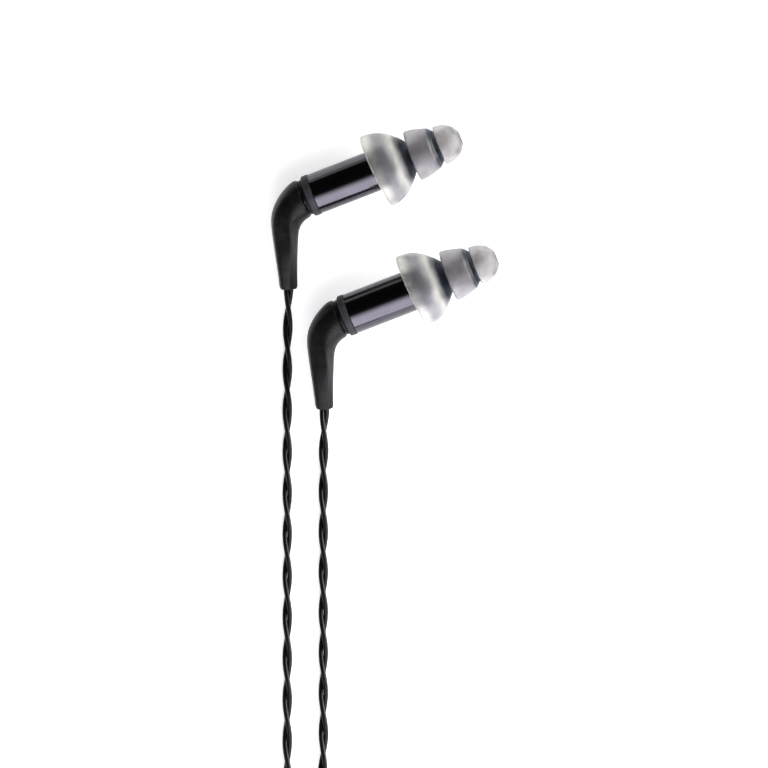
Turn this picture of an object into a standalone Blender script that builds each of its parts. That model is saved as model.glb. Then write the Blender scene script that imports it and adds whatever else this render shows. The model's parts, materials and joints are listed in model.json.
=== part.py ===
"""Wired in-ear earphones: two plug-in earpieces with triple-flange tips, and the cable set they hang on.

The set lies flat: +Z is up from the table, +Y runs up the cable towards the earpieces.
Each earpiece is built along its own axis frame, whose +X runs out through the sound nozzle.
"""

import math

import bmesh
import bpy
from mathutils import Matrix, Vector

MM = 0.001
MERGE = 0.000001

# Earpiece frames: a point on each barrel's axis, and how the axis lies.
AXIS_YAW = math.radians(21.0)
AXIS_PITCH = math.radians(6.0)
AXIS_HEIGHT = 5.509 * MM
EARPIECES = {
    "left": (-6.785 * MM, 13.735 * MM),
    "right": (-0.945 * MM, -5.755 * MM),
}

# Barrel, rear cap and nozzle. "At" values are stations along the earpiece's axis.
BARREL_RADIUS = 3.33 * MM
BARREL_WALL = 0.40 * MM
BARREL_REAR_AT = -4.80 * MM
BARREL_FRONT_AT = 8.10 * MM
CAP_RADIUS = 3.42 * MM
CAP_REAR_AT = -6.05 * MM
CAP_SPIGOT_AT = -3.30 * MM
NOZZLE_RADIUS = 1.62 * MM
NOZZLE_BORE = 1.20 * MM
NOZZLE_END_AT = 16.90 * MM
FLANGE_AT = 6.55 * MM

# Snap connector between the rear cap and the boot.
JACK_RADIUS = 1.95 * MM
JACK_BORE = 1.55 * MM
JACK_FRONT_AT = -3.00 * MM
MOUTH_AT = -6.64 * MM
PLUG_SHELL_RADIUS = 1.36 * MM
PLUG_SHELL_BORE = 1.00 * MM
PLUG_SHELL_AT = (-8.30 * MM, -4.10 * MM)
SNAP_GROOVE_AT = -4.80 * MM

# Silicone tip: each flange is part of an ellipse about its rim station (rim, length, radius).
TIP_FLANGES = (
    (17.15 * MM, 3.50 * MM, 3.13 * MM),
    (12.45 * MM, 4.72 * MM, 4.17 * MM),
    (6.00 * MM, 6.25 * MM, 6.17 * MM),
)
TIP_CORE_RADIUS = 2.20 * MM
TIP_BORE = 1.73 * MM
TIP_SOUND_HOLE = 1.10 * MM
TIP_REAR_AT = 9.10 * MM
TIP_STEP_AT = 17.05 * MM
SKIRT_THICKNESS = 0.48 * MM

# Balanced-armature receiver inside the barrel.
DRIVER_SIZE = (6.30 * MM, 4.30 * MM, 2.90 * MM)
DRIVER_REAR_AT = -1.30 * MM
SPOUT_RADIUS = 0.60 * MM
SPOUT_LENGTH = 1.60 * MM

# Elbow boot: outer and inner outline in plan, from the mouth to the stem's end, relative to the axis point,
# with the height of the middle and half the thickness at the same stations.
BOOT_OUTER = (
    (-7.28, 0.39), (-7.60, 0.54), (-8.35, 0.24), (-9.29, -0.73), (-10.23, -1.88), (-11.01, -3.26),
    (-11.50, -4.66), (-11.64, -6.04), (-11.50, -7.67), (-11.21, -9.78), (-10.80, -12.54),
    (-10.34, -15.30), (-10.15, -16.60), (-9.86, -17.04),
)
BOOT_INNER = (
    (-5.07, -5.31), (-5.26, -5.55), (-6.04, -6.03), (-6.63, -6.76), (-6.97, -7.67), (-7.08, -8.64),
    (-7.13, -9.61), (-7.16, -10.43), (-7.19, -11.16), (-7.23, -11.89), (-7.26, -13.35),
    (-7.31, -15.54), (-7.34, -16.65), (-7.60, -17.04),
)
BOOT_HEIGHT = (
    -0.69, -0.73, -0.82, -0.98, -1.18, -1.42, -1.67, -1.92, -2.17, -2.52, -3.07, -3.78, -4.11, -4.20,
)
BOOT_THICKNESS = (
    3.00, 3.20, 3.25, 3.20, 3.10, 2.95, 2.78, 2.60, 2.40, 2.20, 1.85, 1.55, 1.42, 1.12,
)
BOOT_SIDES = 16
BOOT_SOCKET_RADIUS = 1.55 * MM
BOOT_SOCKET_END_AT = -8.70 * MM

# Cables.
PAIR_RADIUS = 0.80 * MM
MAIN_RADIUS = 1.00 * MM

# The twisted pairs' routes from the boots to the hank: x, y, z in millimetres.
LEFT_ROUTE = (
    (-15.53, -3.66, 1.31), (-15.61, -7.0, 1.05), (-15.70, -11.0, 0.84), (-15.75, -18.0, 0.81),
    (-15.76, -28.0, 0.81), (-15.76, -40.0, 0.81), (-15.76, -52.0, 0.81), (-15.76, -64.0, 0.81),
    (-15.76, -75.0, 0.81), (-15.70, -82.0, 0.81), (-15.20, -86.5, 0.81), (-14.30, -90.5, 0.85),
    (-13.65, -94.0, 1.12), (-13.50, -98.0, 1.25), (-13.50, -106.0, 1.25), (-13.50, -114.0, 1.25),
    (-13.50, -122.0, 1.25), (-13.50, -125.6, 1.10),
)
RIGHT_ROUTE = (
    (-9.69, -23.15, 1.31), (-9.78, -26.5, 1.05), (-9.84, -30.5, 0.84), (-9.87, -38.0, 0.81),
    (-9.88, -48.0, 0.81), (-9.88, -60.0, 0.81), (-9.88, -72.0, 0.81), (-9.88, -79.0, 0.84),
    (-10.25, -83.5, 1.08), (-11.80, -87.3, 2.15), (-14.10, -90.3, 2.62), (-15.85, -93.4, 2.05),
    (-16.50, -97.5, 1.25), (-16.50, -106.0, 1.25), (-16.50, -114.0, 1.25), (-16.50, -122.0, 1.25),
    (-16.05, -126.5, 1.10), (-15.75, -129.2, 0.95),
)

# Hank: a stadium-shaped winding. The pairs lie outside on the table, the main cable is stacked inside.
HANK_X = 2.60 * MM
HANK_TOP = -137.0 * MM
HANK_RUN = 32.0 * MM
HANK_RADIUS = 18.80 * MM
HANK_PAIR_HEIGHT = 1.70 * MM
STACK_RADIUS = 10.65 * MM
STACK_HEIGHT = 8.25 * MM

# Tie strap round the waist of the hank.
TIE_Y = -149.0 * MM
TIE_WIDTH = 7.0 * MM
TIE_THICKNESS = 0.70 * MM
TIE_GAP = 0.35 * MM

# Splitter, in the gap on the hank's right-hand run.
SPLITTER_SIZE = (4.20 * MM, 15.0 * MM, 2.70 * MM)
SPLITTER_X = HANK_X + 13.15 * MM
SPLITTER_Y = HANK_TOP - HANK_RUN + 0.60 * MM + SPLITTER_SIZE[1] / 2

# Cinch slider on the two pairs.
SLIDER_SIZE = (7.20 * MM, 8.00 * MM, 3.20 * MM)
SLIDER_AT = (-15.0 * MM, -101.0 * MM)
SLIDER_HOLE_RADIUS = 0.92 * MM
SLIDER_HOLE_HEIGHT = 1.25 * MM
SLIDER_HOLE_SPACING = 3.00 * MM

# 3.5 mm plug, lying beside the hank with its contacts towards +Y.
PLUG_X = HANK_X + 23.80 * MM
PLUG_HEIGHT = 3.26 * MM
PLUG_SHOULDER_Y = -143.0 * MM
GRIP_RADIUS = 3.25 * MM
GRIP_LENGTH = 16.0 * MM
GRIP_RECESS = 0.80 * MM
RELIEF_LENGTH = 7.5 * MM
CONTACT_RADIUS = 1.75 * MM
CONTACT_CORE_RADIUS = 0.55 * MM

# The main cable from the top of the hank down to the plug's relief: x, y, z in millimetres.
MAIN_ROUTE = (
    (-2.40, -182.6, 6.55), (2.50, -185.6, 5.30), (9.50, -187.0, 4.05), (17.0, -185.6, 3.35),
    (23.0, -181.2, 3.26), (26.0, -175.2, 3.26), (26.4, -170.0, 3.26), (26.4, -167.0, 3.26),
)

# Finishes: colour, roughness, metallic.
FINISHES = {
    "silicone": ((0.62, 0.62, 0.61), 0.45, 0.0),
    "anodised_black": ((0.012, 0.011, 0.014), 0.18, 1.0),
    "cap_black": ((0.018, 0.018, 0.023), 0.55, 0.0),
    "boot_black": ((0.020, 0.019, 0.019), 0.75, 0.0),
    "nozzle_black": ((0.010, 0.012, 0.022), 0.40, 0.0),
    "receiver_steel": ((0.60, 0.60, 0.58), 0.30, 1.0),
    "gold": ((0.83, 0.62, 0.25), 0.22, 1.0),
    "insulator_white": ((0.80, 0.79, 0.75), 0.45, 0.0),
    "gasket_grey": ((0.10, 0.10, 0.11), 0.70, 0.0),
    "spring_bronze": ((0.55, 0.38, 0.18), 0.30, 1.0),
    "wire_copper": ((0.75, 0.30, 0.14), 0.30, 1.0),
    "filter_mesh": ((0.42, 0.43, 0.42), 0.45, 1.0),
    "cable_black": ((0.016, 0.016, 0.017), 0.42, 0.0),
    "strap_black": ((0.020, 0.020, 0.021), 0.85, 0.0),
}


def clear_scene():
    for existing in list(bpy.data.objects):
        bpy.data.objects.remove(existing, do_unlink=True)


def make_collection(name):
    collection = bpy.data.collections.new(name)
    bpy.context.scene.collection.children.link(collection)
    return collection


def make_materials():
    made = {}
    for name, (colour, roughness, metallic) in FINISHES.items():
        material = bpy.data.materials.new(name)
        material.use_nodes = True
        shader = material.node_tree.nodes["Principled BSDF"]
        shader.inputs["Base Color"].default_value = (*colour, 1.0)
        shader.inputs["Roughness"].default_value = roughness
        shader.inputs["Metallic"].default_value = metallic
        made[name] = material
    return made


class Workshop:
    """Holds the two collections and the finishes, and puts each new piece in its place."""

    def __init__(self):
        self.parts = make_collection("wired_earphones")
        self.cutters = make_collection("cutters")
        self.materials = make_materials()

    def keep(self, piece, finish, parent=None):
        self.parts.objects.link(piece)
        piece.data.materials.append(self.materials[finish])
        piece.parent = parent
        return piece

    def cutter(self, piece, parent=None):
        self.cutters.objects.link(piece)
        piece.parent = parent
        piece.hide_render = True
        piece.display_type = "WIRE"
        return piece


def mesh_object(name, bm):
    mesh = bpy.data.meshes.new(name)
    bm.to_mesh(mesh)
    bm.free()
    return bpy.data.objects.new(name, mesh)


def turned(name, profile, sides=24, closed=True):
    """A turned piece about its local Z. The profile's (radius, along) points run down the outside."""
    bm = bmesh.new()
    rim = [bm.verts.new((radius, 0.0, along)) for radius, along in profile]
    for first, second in zip(rim, rim[1:]):
        bm.edges.new((first, second))
    if closed:
        bm.edges.new((rim[-1], rim[0]))
    piece = mesh_object(name, bm)
    screw = piece.modifiers.new("turn", "SCREW")
    screw.axis = "Z"
    screw.steps = sides
    screw.render_steps = sides
    screw.use_merge_vertices = True
    screw.merge_threshold = MERGE
    screw.use_smooth_shade = True
    return piece


def along_axis(piece):
    """Lay a turned piece along its parent's +X."""
    piece.rotation_euler = (0.0, math.pi / 2, 0.0)
    return piece


def block(name, size, centre, bevel=0.0, segments=2):
    bm = bmesh.new()
    bmesh.ops.create_cube(bm, size=1.0, matrix=Matrix.Diagonal((*size, 1.0)))
    piece = mesh_object(name, bm)
    piece.location = centre
    if bevel:
        rounding = piece.modifiers.new("rounding", "BEVEL")
        rounding.width = bevel
        rounding.segments = segments
    return piece


def rod(name, radius, length, sides=16):
    bm = bmesh.new()
    bmesh.ops.create_cone(
        bm, cap_ends=True, segments=sides, radius1=radius, radius2=radius, depth=length
    )
    return mesh_object(name, bm)


def tube(name, points, radius, resolution=2, cyclic=False):
    data = bpy.data.curves.new(name, "CURVE")
    data.dimensions = "3D"
    data.bevel_depth = radius
    data.bevel_resolution = resolution
    data.use_fill_caps = True
    spline = data.splines.new("POLY")
    spline.points.add(len(points) - 1)
    for point, position in zip(spline.points, points):
        point.co = (*position, 1.0)
    spline.use_cyclic_u = cyclic
    return bpy.data.objects.new(name, data)


def flat_outline(name, loops, thickness):
    """A plate in its local XY plane from one outer loop and any holes."""
    data = bpy.data.curves.new(name, "CURVE")
    data.dimensions = "2D"
    data.fill_mode = "BOTH"
    data.extrude = thickness / 2
    for loop in loops:
        spline = data.splines.new("POLY")
        spline.points.add(len(loop) - 1)
        for point, (x, y) in zip(spline.points, loop):
            point.co = (x, y, 0.0, 1.0)
        spline.use_cyclic_u = True
    return bpy.data.objects.new(name, data)


def as_mesh(piece, collection):
    """Replace a curve object by its own mesh, in the same place."""
    collection.objects.link(piece)
    bpy.context.view_layer.update()
    evaluated = piece.evaluated_get(bpy.context.evaluated_depsgraph_get())
    mesh = bpy.data.meshes.new_from_object(evaluated)
    bm = bmesh.new()
    bm.from_mesh(mesh)
    bmesh.ops.remove_doubles(bm, verts=bm.verts, dist=MERGE)
    bm.to_mesh(mesh)
    bm.free()
    solid = bpy.data.objects.new(piece.name, mesh)
    solid.matrix_world = piece.matrix_world
    name = piece.name
    bpy.data.objects.remove(piece, do_unlink=True)
    solid.name = name
    return solid


def cut(piece, cutter, operation="DIFFERENCE"):
    boolean = piece.modifiers.new(operation.lower(), "BOOLEAN")
    boolean.operation = operation
    boolean.object = cutter
    boolean.solver = "EXACT"


def smooth_route(points, spacing):
    """Points every `spacing` along a smooth curve through the given millimetre points, in metres."""
    route = [Vector(p) * MM for p in points]
    padded = [route[0] * 2 - route[1], *route, route[-1] * 2 - route[-2]]
    fine = []
    for before, start, end, after in zip(padded, padded[1:], padded[2:], padded[3:]):
        for step in range(24):
            fine.append(catmull_rom(before, start, end, after, step / 24))
    fine.append(route[-1])
    return resampled(fine, spacing)


def catmull_rom(before, start, end, after, t):
    return 0.5 * (
        2 * start
        + (end - before) * t
        + (2 * before - 5 * start + 4 * end - after) * t * t
        + (3 * start - before - 3 * end + after) * t * t * t
    )


def resampled(fine, spacing):
    lengths = [0.0]
    for first, second in zip(fine, fine[1:]):
        lengths.append(lengths[-1] + (second - first).length)
    count = max(2, round(lengths[-1] / spacing))
    points = []
    index = 0
    for step in range(count + 1):
        target = lengths[-1] * step / count
        while index < len(fine) - 2 and lengths[index + 1] < target:
            index += 1
        share = (target - lengths[index]) / (lengths[index + 1] - lengths[index])
        points.append(fine[index].lerp(fine[index + 1], share))
    return points


# ---------------------------------------------------------------- earpiece

def frame_empty(shop, name, side):
    """An empty on the barrel's axis, its +X along the axis."""
    x, y = EARPIECES[side]
    empty = bpy.data.objects.new(name, None)
    empty.location = (x, y, AXIS_HEIGHT)
    empty.rotation_euler = (0.0, -AXIS_PITCH, AXIS_YAW)
    empty.empty_display_size = 0.005
    shop.parts.objects.link(empty)
    return empty


def ellipse_points(rim, length, radius, low, high, count):
    """(radius, along) points of an ellipse about a rim station, from the `low` to the `high` radius."""
    start = math.acos(min(1.0, low / radius))
    end = math.acos(min(1.0, high / radius))
    angles = [start + (end - start) * i / (count - 1) for i in range(count)]
    return [(radius * math.cos(a), rim + length * math.sin(a)) for a in angles]


def flange_profile(flange, inner_start, count):
    """Down the outside of one flange, round its rim and back up underneath to the core."""
    rim, length, radius = flange
    wall = SKIRT_THICKNESS
    outside = ellipse_points(rim, length, radius, inner_start, radius, count)
    edge = [(radius - wall * 0.35, rim - wall * 0.30)]
    underside = ellipse_points(
        rim + 0.05 * MM, length - wall * 1.5, radius - wall, radius - wall, TIP_CORE_RADIUS, count - 1
    )
    return outside + edge + underside


def ear_tip(shop, side, frame):
    """Triple-flange silicone tip with a bore for the nozzle and a narrower sound hole."""
    front, middle, rear = TIP_FLANGES
    profile = flange_profile(front, TIP_SOUND_HOLE + 0.12 * MM, 5)
    profile += flange_profile(middle, TIP_CORE_RADIUS, 4)
    profile += flange_profile(rear, TIP_CORE_RADIUS, 6)
    profile += [
        (TIP_CORE_RADIUS, TIP_REAR_AT),
        (TIP_BORE, TIP_REAR_AT),
        (TIP_BORE, TIP_STEP_AT),
        (TIP_SOUND_HOLE, TIP_STEP_AT),
        (TIP_SOUND_HOLE, front[0] + front[1] * 0.91),
    ]
    shop.keep(along_axis(turned(side + "_ear_tip", profile, 24)), "silicone", frame)


def barrel(shop, side, frame):
    """Open-backed tube with a turned-in front shoulder that the nozzle passes through."""
    inner = BARREL_RADIUS - BARREL_WALL
    lip = 1.74 * MM
    profile = [
        (lip, BARREL_FRONT_AT),
        (BARREL_RADIUS - 0.55 * MM, BARREL_FRONT_AT),
        (BARREL_RADIUS - 0.12 * MM, BARREL_FRONT_AT - 0.22 * MM),
        (BARREL_RADIUS, BARREL_FRONT_AT - 0.62 * MM),
        (BARREL_RADIUS, BARREL_REAR_AT + 0.10 * MM),
        (BARREL_RADIUS - 0.10 * MM, BARREL_REAR_AT),
        (inner, BARREL_REAR_AT),
        (inner, FLANGE_AT + 0.75 * MM),
        (lip, FLANGE_AT + 0.75 * MM),
    ]
    shop.keep(along_axis(turned(side + "_barrel", profile, 28)), "anodised_black", frame)


def nozzle(shop, side, frame):
    """Sound nozzle with a flange that bears on the inside of the barrel's shoulder."""
    flange = 2.75 * MM
    profile = [
        (NOZZLE_BORE, NOZZLE_END_AT),
        (NOZZLE_RADIUS - 0.18 * MM, NOZZLE_END_AT),
        (NOZZLE_RADIUS, NOZZLE_END_AT - 0.20 * MM),
        (NOZZLE_RADIUS, FLANGE_AT + 0.65 * MM),
        (flange, FLANGE_AT + 0.65 * MM),
        (flange, FLANGE_AT),
        (NOZZLE_BORE, FLANGE_AT),
    ]
    shop.keep(along_axis(turned(side + "_nozzle", profile, 24)), "nozzle_black", frame)


def sound_tube(shop, side, frame):
    """Elastomer sleeve that joins the receiver's spout to the nozzle."""
    start = 5.25 * MM
    end = 8.60 * MM
    outer = NOZZLE_BORE - 0.08 * MM
    bore = SPOUT_RADIUS + 0.08 * MM
    profile = [(bore, end), (outer, end), (outer, start), (bore, start)]
    shop.keep(along_axis(turned(side + "_sound_tube", profile, 16)), "gasket_grey", frame)


def damping_filter(shop, side, frame):
    """Damping filter plug in the end of the nozzle, with its sound passage."""
    start = 14.90 * MM
    end = 16.60 * MM
    outer = NOZZLE_BORE - 0.07 * MM
    passage = 0.45 * MM
    profile = [(passage, end), (outer, end), (outer, start), (passage, start)]
    shop.keep(along_axis(turned(side + "_filter", profile, 16)), "filter_mesh", frame)


def driver(shop, side, frame):
    """Balanced-armature receiver: a rounded can with its spout."""
    length, width, height = DRIVER_SIZE
    middle = DRIVER_REAR_AT + length / 2
    can = block(side + "_driver", DRIVER_SIZE, (middle, 0.0, 0.0), 0.35 * MM, 2)
    spout = along_axis(rod(side + "_spout_tool", SPOUT_RADIUS, SPOUT_LENGTH + 0.4 * MM, 16))
    spout.location = (DRIVER_REAR_AT + length + SPOUT_LENGTH / 2 - 0.2 * MM, 0.0, 0.0)
    shop.cutter(spout, frame)
    shop.keep(can, "receiver_steel", frame)
    cut(can, spout, "UNION")


def driver_mount(shop, side, frame):
    """Rubber ring that holds the receiver in the barrel."""
    gap = 0.08 * MM
    length = 1.60 * MM
    outer = BARREL_RADIUS - BARREL_WALL - gap
    middle = DRIVER_REAR_AT + DRIVER_SIZE[0] / 2
    ring = along_axis(rod(side + "_driver_mount", outer, length, 24))
    ring.location = (middle, 0.0, 0.0)
    window = (length * 2, DRIVER_SIZE[1] + 2 * gap, DRIVER_SIZE[2] + 2 * gap)
    tool = block(side + "_mount_tool", window, (middle, 0.0, 0.0))
    shop.cutter(tool, frame)
    shop.keep(ring, "gasket_grey", frame)
    cut(ring, tool)


def driver_wires(shop, side, frame):
    """Two enamelled wires from the jack's terminals to the receiver's."""
    for name, sign in (("_wire_positive", 1), ("_wire_negative", -1)):
        offset = sign * 0.62 * MM
        points = [
            Vector((-2.88 * MM, offset * 0.9, 0.0)),
            Vector((-2.40 * MM, offset * 1.5, 0.35 * MM)),
            Vector((-1.90 * MM, offset * 1.8, 0.25 * MM)),
            Vector((DRIVER_REAR_AT - 0.10 * MM, offset * 1.6, 0.0)),
        ]
        shop.keep(tube(side + name, points, 0.12 * MM), "wire_copper", frame)


def rear_cap(shop, side, frame):
    """Matt collar that closes the barrel's rear and carries the jack."""
    spigot = BARREL_RADIUS - BARREL_WALL - 0.07 * MM
    bore = JACK_RADIUS + 0.07 * MM
    face = BARREL_REAR_AT - 0.08 * MM
    profile = [
        (bore, CAP_SPIGOT_AT),
        (spigot, CAP_SPIGOT_AT),
        (spigot, face),
        (CAP_RADIUS - 0.10 * MM, face),
        (CAP_RADIUS, face - 0.12 * MM),
        (CAP_RADIUS, CAP_REAR_AT + 0.35 * MM),
        (CAP_RADIUS - 0.10 * MM, CAP_REAR_AT + 0.10 * MM),
        (CAP_RADIUS - 0.34 * MM, CAP_REAR_AT),
        (bore, CAP_REAR_AT),
    ]
    shop.keep(along_axis(turned(side + "_rear_cap", profile, 28)), "cap_black", frame)


def jack(shop, side, frame):
    """Socket half of the snap connector: shell with a rear flange, insulator and contact."""
    flange = 2.95 * MM
    flange_front = CAP_REAR_AT - 0.08 * MM
    flange_rear = MOUTH_AT + 0.12 * MM
    shell = [
        (JACK_BORE, JACK_FRONT_AT),
        (JACK_RADIUS, JACK_FRONT_AT),
        (JACK_RADIUS, flange_front),
        (flange, flange_front),
        (flange, flange_rear),
        (JACK_BORE, flange_rear),
    ]
    shop.keep(along_axis(turned(side + "_jack_shell", shell, 24)), "cap_black", frame)
    disc_start = -3.70 * MM
    disc_end = -3.10 * MM
    hole = 0.52 * MM
    edge = JACK_BORE - 0.08 * MM
    disc = [(hole, disc_end), (edge, disc_end), (edge, disc_start), (hole, disc_start)]
    insulator = along_axis(turned(side + "_jack_insulator", disc, 20))
    shop.keep(insulator, "insulator_white", frame)
    sleeve = [
        (0.0, -2.95 * MM),
        (0.44 * MM, -2.95 * MM),
        (0.44 * MM, -5.40 * MM),
        (0.26 * MM, -5.40 * MM),
        (0.26 * MM, -3.40 * MM),
        (0.0, -3.40 * MM),
    ]
    contact = along_axis(turned(side + "_jack_contact", sleeve, 12, closed=False))
    shop.keep(contact, "gold", frame)


def snap_ring(shop, side, frame):
    """Split spring ring in the plug shell's groove; the earpiece turns on it."""
    radius = 1.32 * MM
    opening = math.radians(40.0)
    steps = 20
    points = []
    for step in range(steps + 1):
        angle = opening / 2 + (2 * math.pi - opening) * step / steps
        points.append(
            Vector((SNAP_GROOVE_AT, radius * math.cos(angle), radius * math.sin(angle)))
        )
    shop.keep(tube(side + "_snap_ring", points, 0.11 * MM), "spring_bronze", frame)


def cable_plug(shop, side, frame):
    """Plug half of the snap connector, moulded into the boot: shell, insulator and pin."""
    rear, front = PLUG_SHELL_AT
    groove_half = 0.17 * MM
    groove_radius = 1.17 * MM
    shell = [
        (PLUG_SHELL_BORE, front),
        (PLUG_SHELL_RADIUS - 0.12 * MM, front),
        (PLUG_SHELL_RADIUS, front - 0.15 * MM),
        (PLUG_SHELL_RADIUS, SNAP_GROOVE_AT + groove_half),
        (groove_radius, SNAP_GROOVE_AT + groove_half),
        (groove_radius, SNAP_GROOVE_AT - groove_half),
        (PLUG_SHELL_RADIUS, SNAP_GROOVE_AT - groove_half),
        (PLUG_SHELL_RADIUS, rear),
        (PLUG_SHELL_BORE, rear),
    ]
    shop.keep(along_axis(turned(side + "_plug_shell", shell, 24)), "gold", frame)
    start = rear + 0.15 * MM
    end = MOUTH_AT + 0.30 * MM
    hole = 0.24 * MM
    edge = PLUG_SHELL_BORE - 0.07 * MM
    disc = [(hole, end), (edge, end), (edge, start), (hole, start)]
    insulator = along_axis(turned(side + "_plug_insulator", disc, 16))
    shop.keep(insulator, "insulator_white", frame)
    pin = [
        (0.0, -4.25 * MM),
        (0.16 * MM, -4.45 * MM),
        (0.16 * MM, rear - 0.05 * MM),
        (0.0, rear - 0.05 * MM),
    ]
    contact = along_axis(turned(side + "_plug_pin", pin, 12, closed=False))
    shop.keep(contact, "gold", frame)


def boot_section(outer, inner, middle_z, thickness, forward, squareness):
    """One ring of the boot between its outer and inner outline, square to the run of the boot."""
    outer = Vector((*outer, middle_z)) * MM
    inner = Vector((*inner, middle_z)) * MM
    centre = (outer + inner) / 2
    across = (inner - outer) / 2
    up = (Vector((0.0, 0.0, 1.0)) - forward * forward.z).normalized() * thickness * MM
    power = 2.0 / squareness
    ring = []
    for side in range(BOOT_SIDES):
        angle = 2 * math.pi * side / BOOT_SIDES
        c = math.cos(angle)
        s = math.sin(angle)
        wide = math.copysign(abs(c) ** power, c)
        high = math.copysign(abs(s) ** power, s)
        ring.append(centre + across * wide + up * high)
    return ring


def boot_shape(name):
    """Loft from the round mouth, round the elbow, to the flat-sided stem."""
    stations = len(BOOT_OUTER)
    middles = [
        Vector(((o[0] + i[0]) / 2, (o[1] + i[1]) / 2, z))
        for o, i, z in zip(BOOT_OUTER, BOOT_INNER, BOOT_HEIGHT)
    ]
    bm = bmesh.new()
    rings = []
    for index in range(stations):
        before = middles[max(index - 1, 0)]
        after = middles[min(index + 1, stations - 1)]
        forward = (after - before).normalized()
        squareness = 2.0 + 0.9 * min(1.0, index / 8)
        ring = boot_section(
            BOOT_OUTER[index], BOOT_INNER[index], BOOT_HEIGHT[index], BOOT_THICKNESS[index],
            forward, squareness,
        )
        rings.append([bm.verts.new(p) for p in ring])
    for first, second in zip(rings, rings[1:]):
        for side in range(BOOT_SIDES):
            follow = (side + 1) % BOOT_SIDES
            bm.faces.new((first[side], first[follow], second[follow], second[side]))
    bm.faces.new(rings[0])
    bm.faces.new(rings[-1])
    bmesh.ops.recalc_face_normals(bm, faces=bm.faces)
    return mesh_object(name, bm)


def boot(shop, side, frame):
    """Moulded elbow boot with the socket that its half of the connector sits in."""
    x, y = EARPIECES[side]
    body = boot_shape(side + "_boot")
    body.location = (x, y, AXIS_HEIGHT)
    depth = 4.0 * MM
    tool = along_axis(rod(side + "_socket_tool", BOOT_SOCKET_RADIUS, depth, 24))
    tool.location = (BOOT_SOCKET_END_AT + depth / 2, 0.0, 0.0)
    shop.cutter(tool, frame)
    shop.keep(body, "boot_black")
    cut(body, tool)


def earpiece(shop, side):
    fixed = frame_empty(shop, side + "_axis", side)
    swivel = frame_empty(shop, side + "_swivel_axis", side)
    tip_slide = frame_empty(shop, side + "_tip_axis", side)
    boot(shop, side, fixed)
    cable_plug(shop, side, fixed)
    snap_ring(shop, side, swivel)
    rear_cap(shop, side, swivel)
    jack(shop, side, swivel)
    barrel(shop, side, swivel)
    driver(shop, side, swivel)
    driver_mount(shop, side, swivel)
    driver_wires(shop, side, swivel)
    nozzle(shop, side, swivel)
    sound_tube(shop, side, swivel)
    damping_filter(shop, side, swivel)
    ear_tip(shop, side, tip_slide)


# ---------------------------------------------------------------- cable set

def pair_cords(shop):
    """The two twisted pairs as plain tubes, from the boots to the hank."""
    spacing = 2.6 * 2 * PAIR_RADIUS
    for name, route in (("left_cord", LEFT_ROUTE), ("right_cord", RIGHT_ROUTE)):
        shop.keep(tube(name, smooth_route(route, spacing), PAIR_RADIUS), "cable_black")


def main_cord(shop):
    """The main cable as a plain tube, from the hank to the plug."""
    route = smooth_route(MAIN_ROUTE, 2.2 * 2 * MAIN_RADIUS)
    shop.keep(tube("main_cord", route, MAIN_RADIUS), "cable_black")


def stadium(radius, steps=12):
    """The outline at one distance from the hank's middle line, anticlockwise."""
    loop = []
    for centre_y, start in ((HANK_TOP, 0.0), (HANK_TOP - HANK_RUN, math.pi)):
        for step in range(steps + 1):
            angle = start + math.pi * step / steps
            loop.append((HANK_X + radius * math.cos(angle), centre_y + radius * math.sin(angle)))
    return loop


def hank(shop):
    """Outer shape of the wound cables: a low outer winding with the taller main winding inside."""
    slab = flat_outline("hank", [stadium(HANK_RADIUS)], HANK_PAIR_HEIGHT)
    slab.location = (0.0, 0.0, HANK_PAIR_HEIGHT / 2)
    slab = as_mesh(slab, shop.cutters)
    raised = STACK_HEIGHT - 0.5 * MM
    stack = flat_outline("stack_tool", [stadium(STACK_RADIUS)], raised)
    stack.location = (0.0, 0.0, STACK_HEIGHT - raised / 2)
    stack = shop.cutter(as_mesh(stack, shop.cutters))
    groove_size = (HANK_RADIUS * 2.2, TIE_WIDTH + 2 * TIE_GAP, 2 * (TIE_THICKNESS + TIE_GAP))
    groove = shop.cutter(block("groove_tool", groove_size, (HANK_X, TIE_Y, 0.0)))
    pocket_size = (
        SPLITTER_SIZE[0] + 2 * TIE_GAP - 0.05 * MM,
        SPLITTER_SIZE[1] + 2.4 * TIE_GAP,
        3 * HANK_PAIR_HEIGHT,
    )
    pocket = shop.cutter(block("pocket_tool", pocket_size, (SPLITTER_X, SPLITTER_Y, 0.0)))
    shop.keep(slab, "cable_black")
    cut(slab, stack, "UNION")
    cut(slab, groove)
    cut(slab, pocket)


def tie_loop(offset):
    """The strap's section round the hank: flat below, over the outer winding and across the stack."""
    side = HANK_RADIUS + TIE_GAP + offset
    shoulder = STACK_RADIUS + TIE_GAP + 0.1 * MM + offset * 0.4
    low = TIE_THICKNESS - offset
    knee = HANK_PAIR_HEIGHT + 0.5 * MM + offset * 0.5
    top = STACK_HEIGHT + TIE_GAP + offset
    return [(side, low), (side, knee), (shoulder, top), (-shoulder, top), (-side, knee), (-side, low)]


def tie(shop):
    """Reusable strap that holds the hank together."""
    strap = flat_outline("cord_tie", [tie_loop(TIE_THICKNESS), tie_loop(0.0)], TIE_WIDTH)
    strap.location = (HANK_X, TIE_Y, 0.0)
    strap.rotation_euler = (math.pi / 2, 0.0, 0.0)
    shop.keep(strap, "strap_black")


def splitter(shop):
    """Flat moulded piece where the two pairs join the main cable."""
    centre = (SPLITTER_X, SPLITTER_Y, SPLITTER_SIZE[2] / 2)
    shop.keep(block("splitter", SPLITTER_SIZE, centre, 0.55 * MM, 2), "boot_black")


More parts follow.
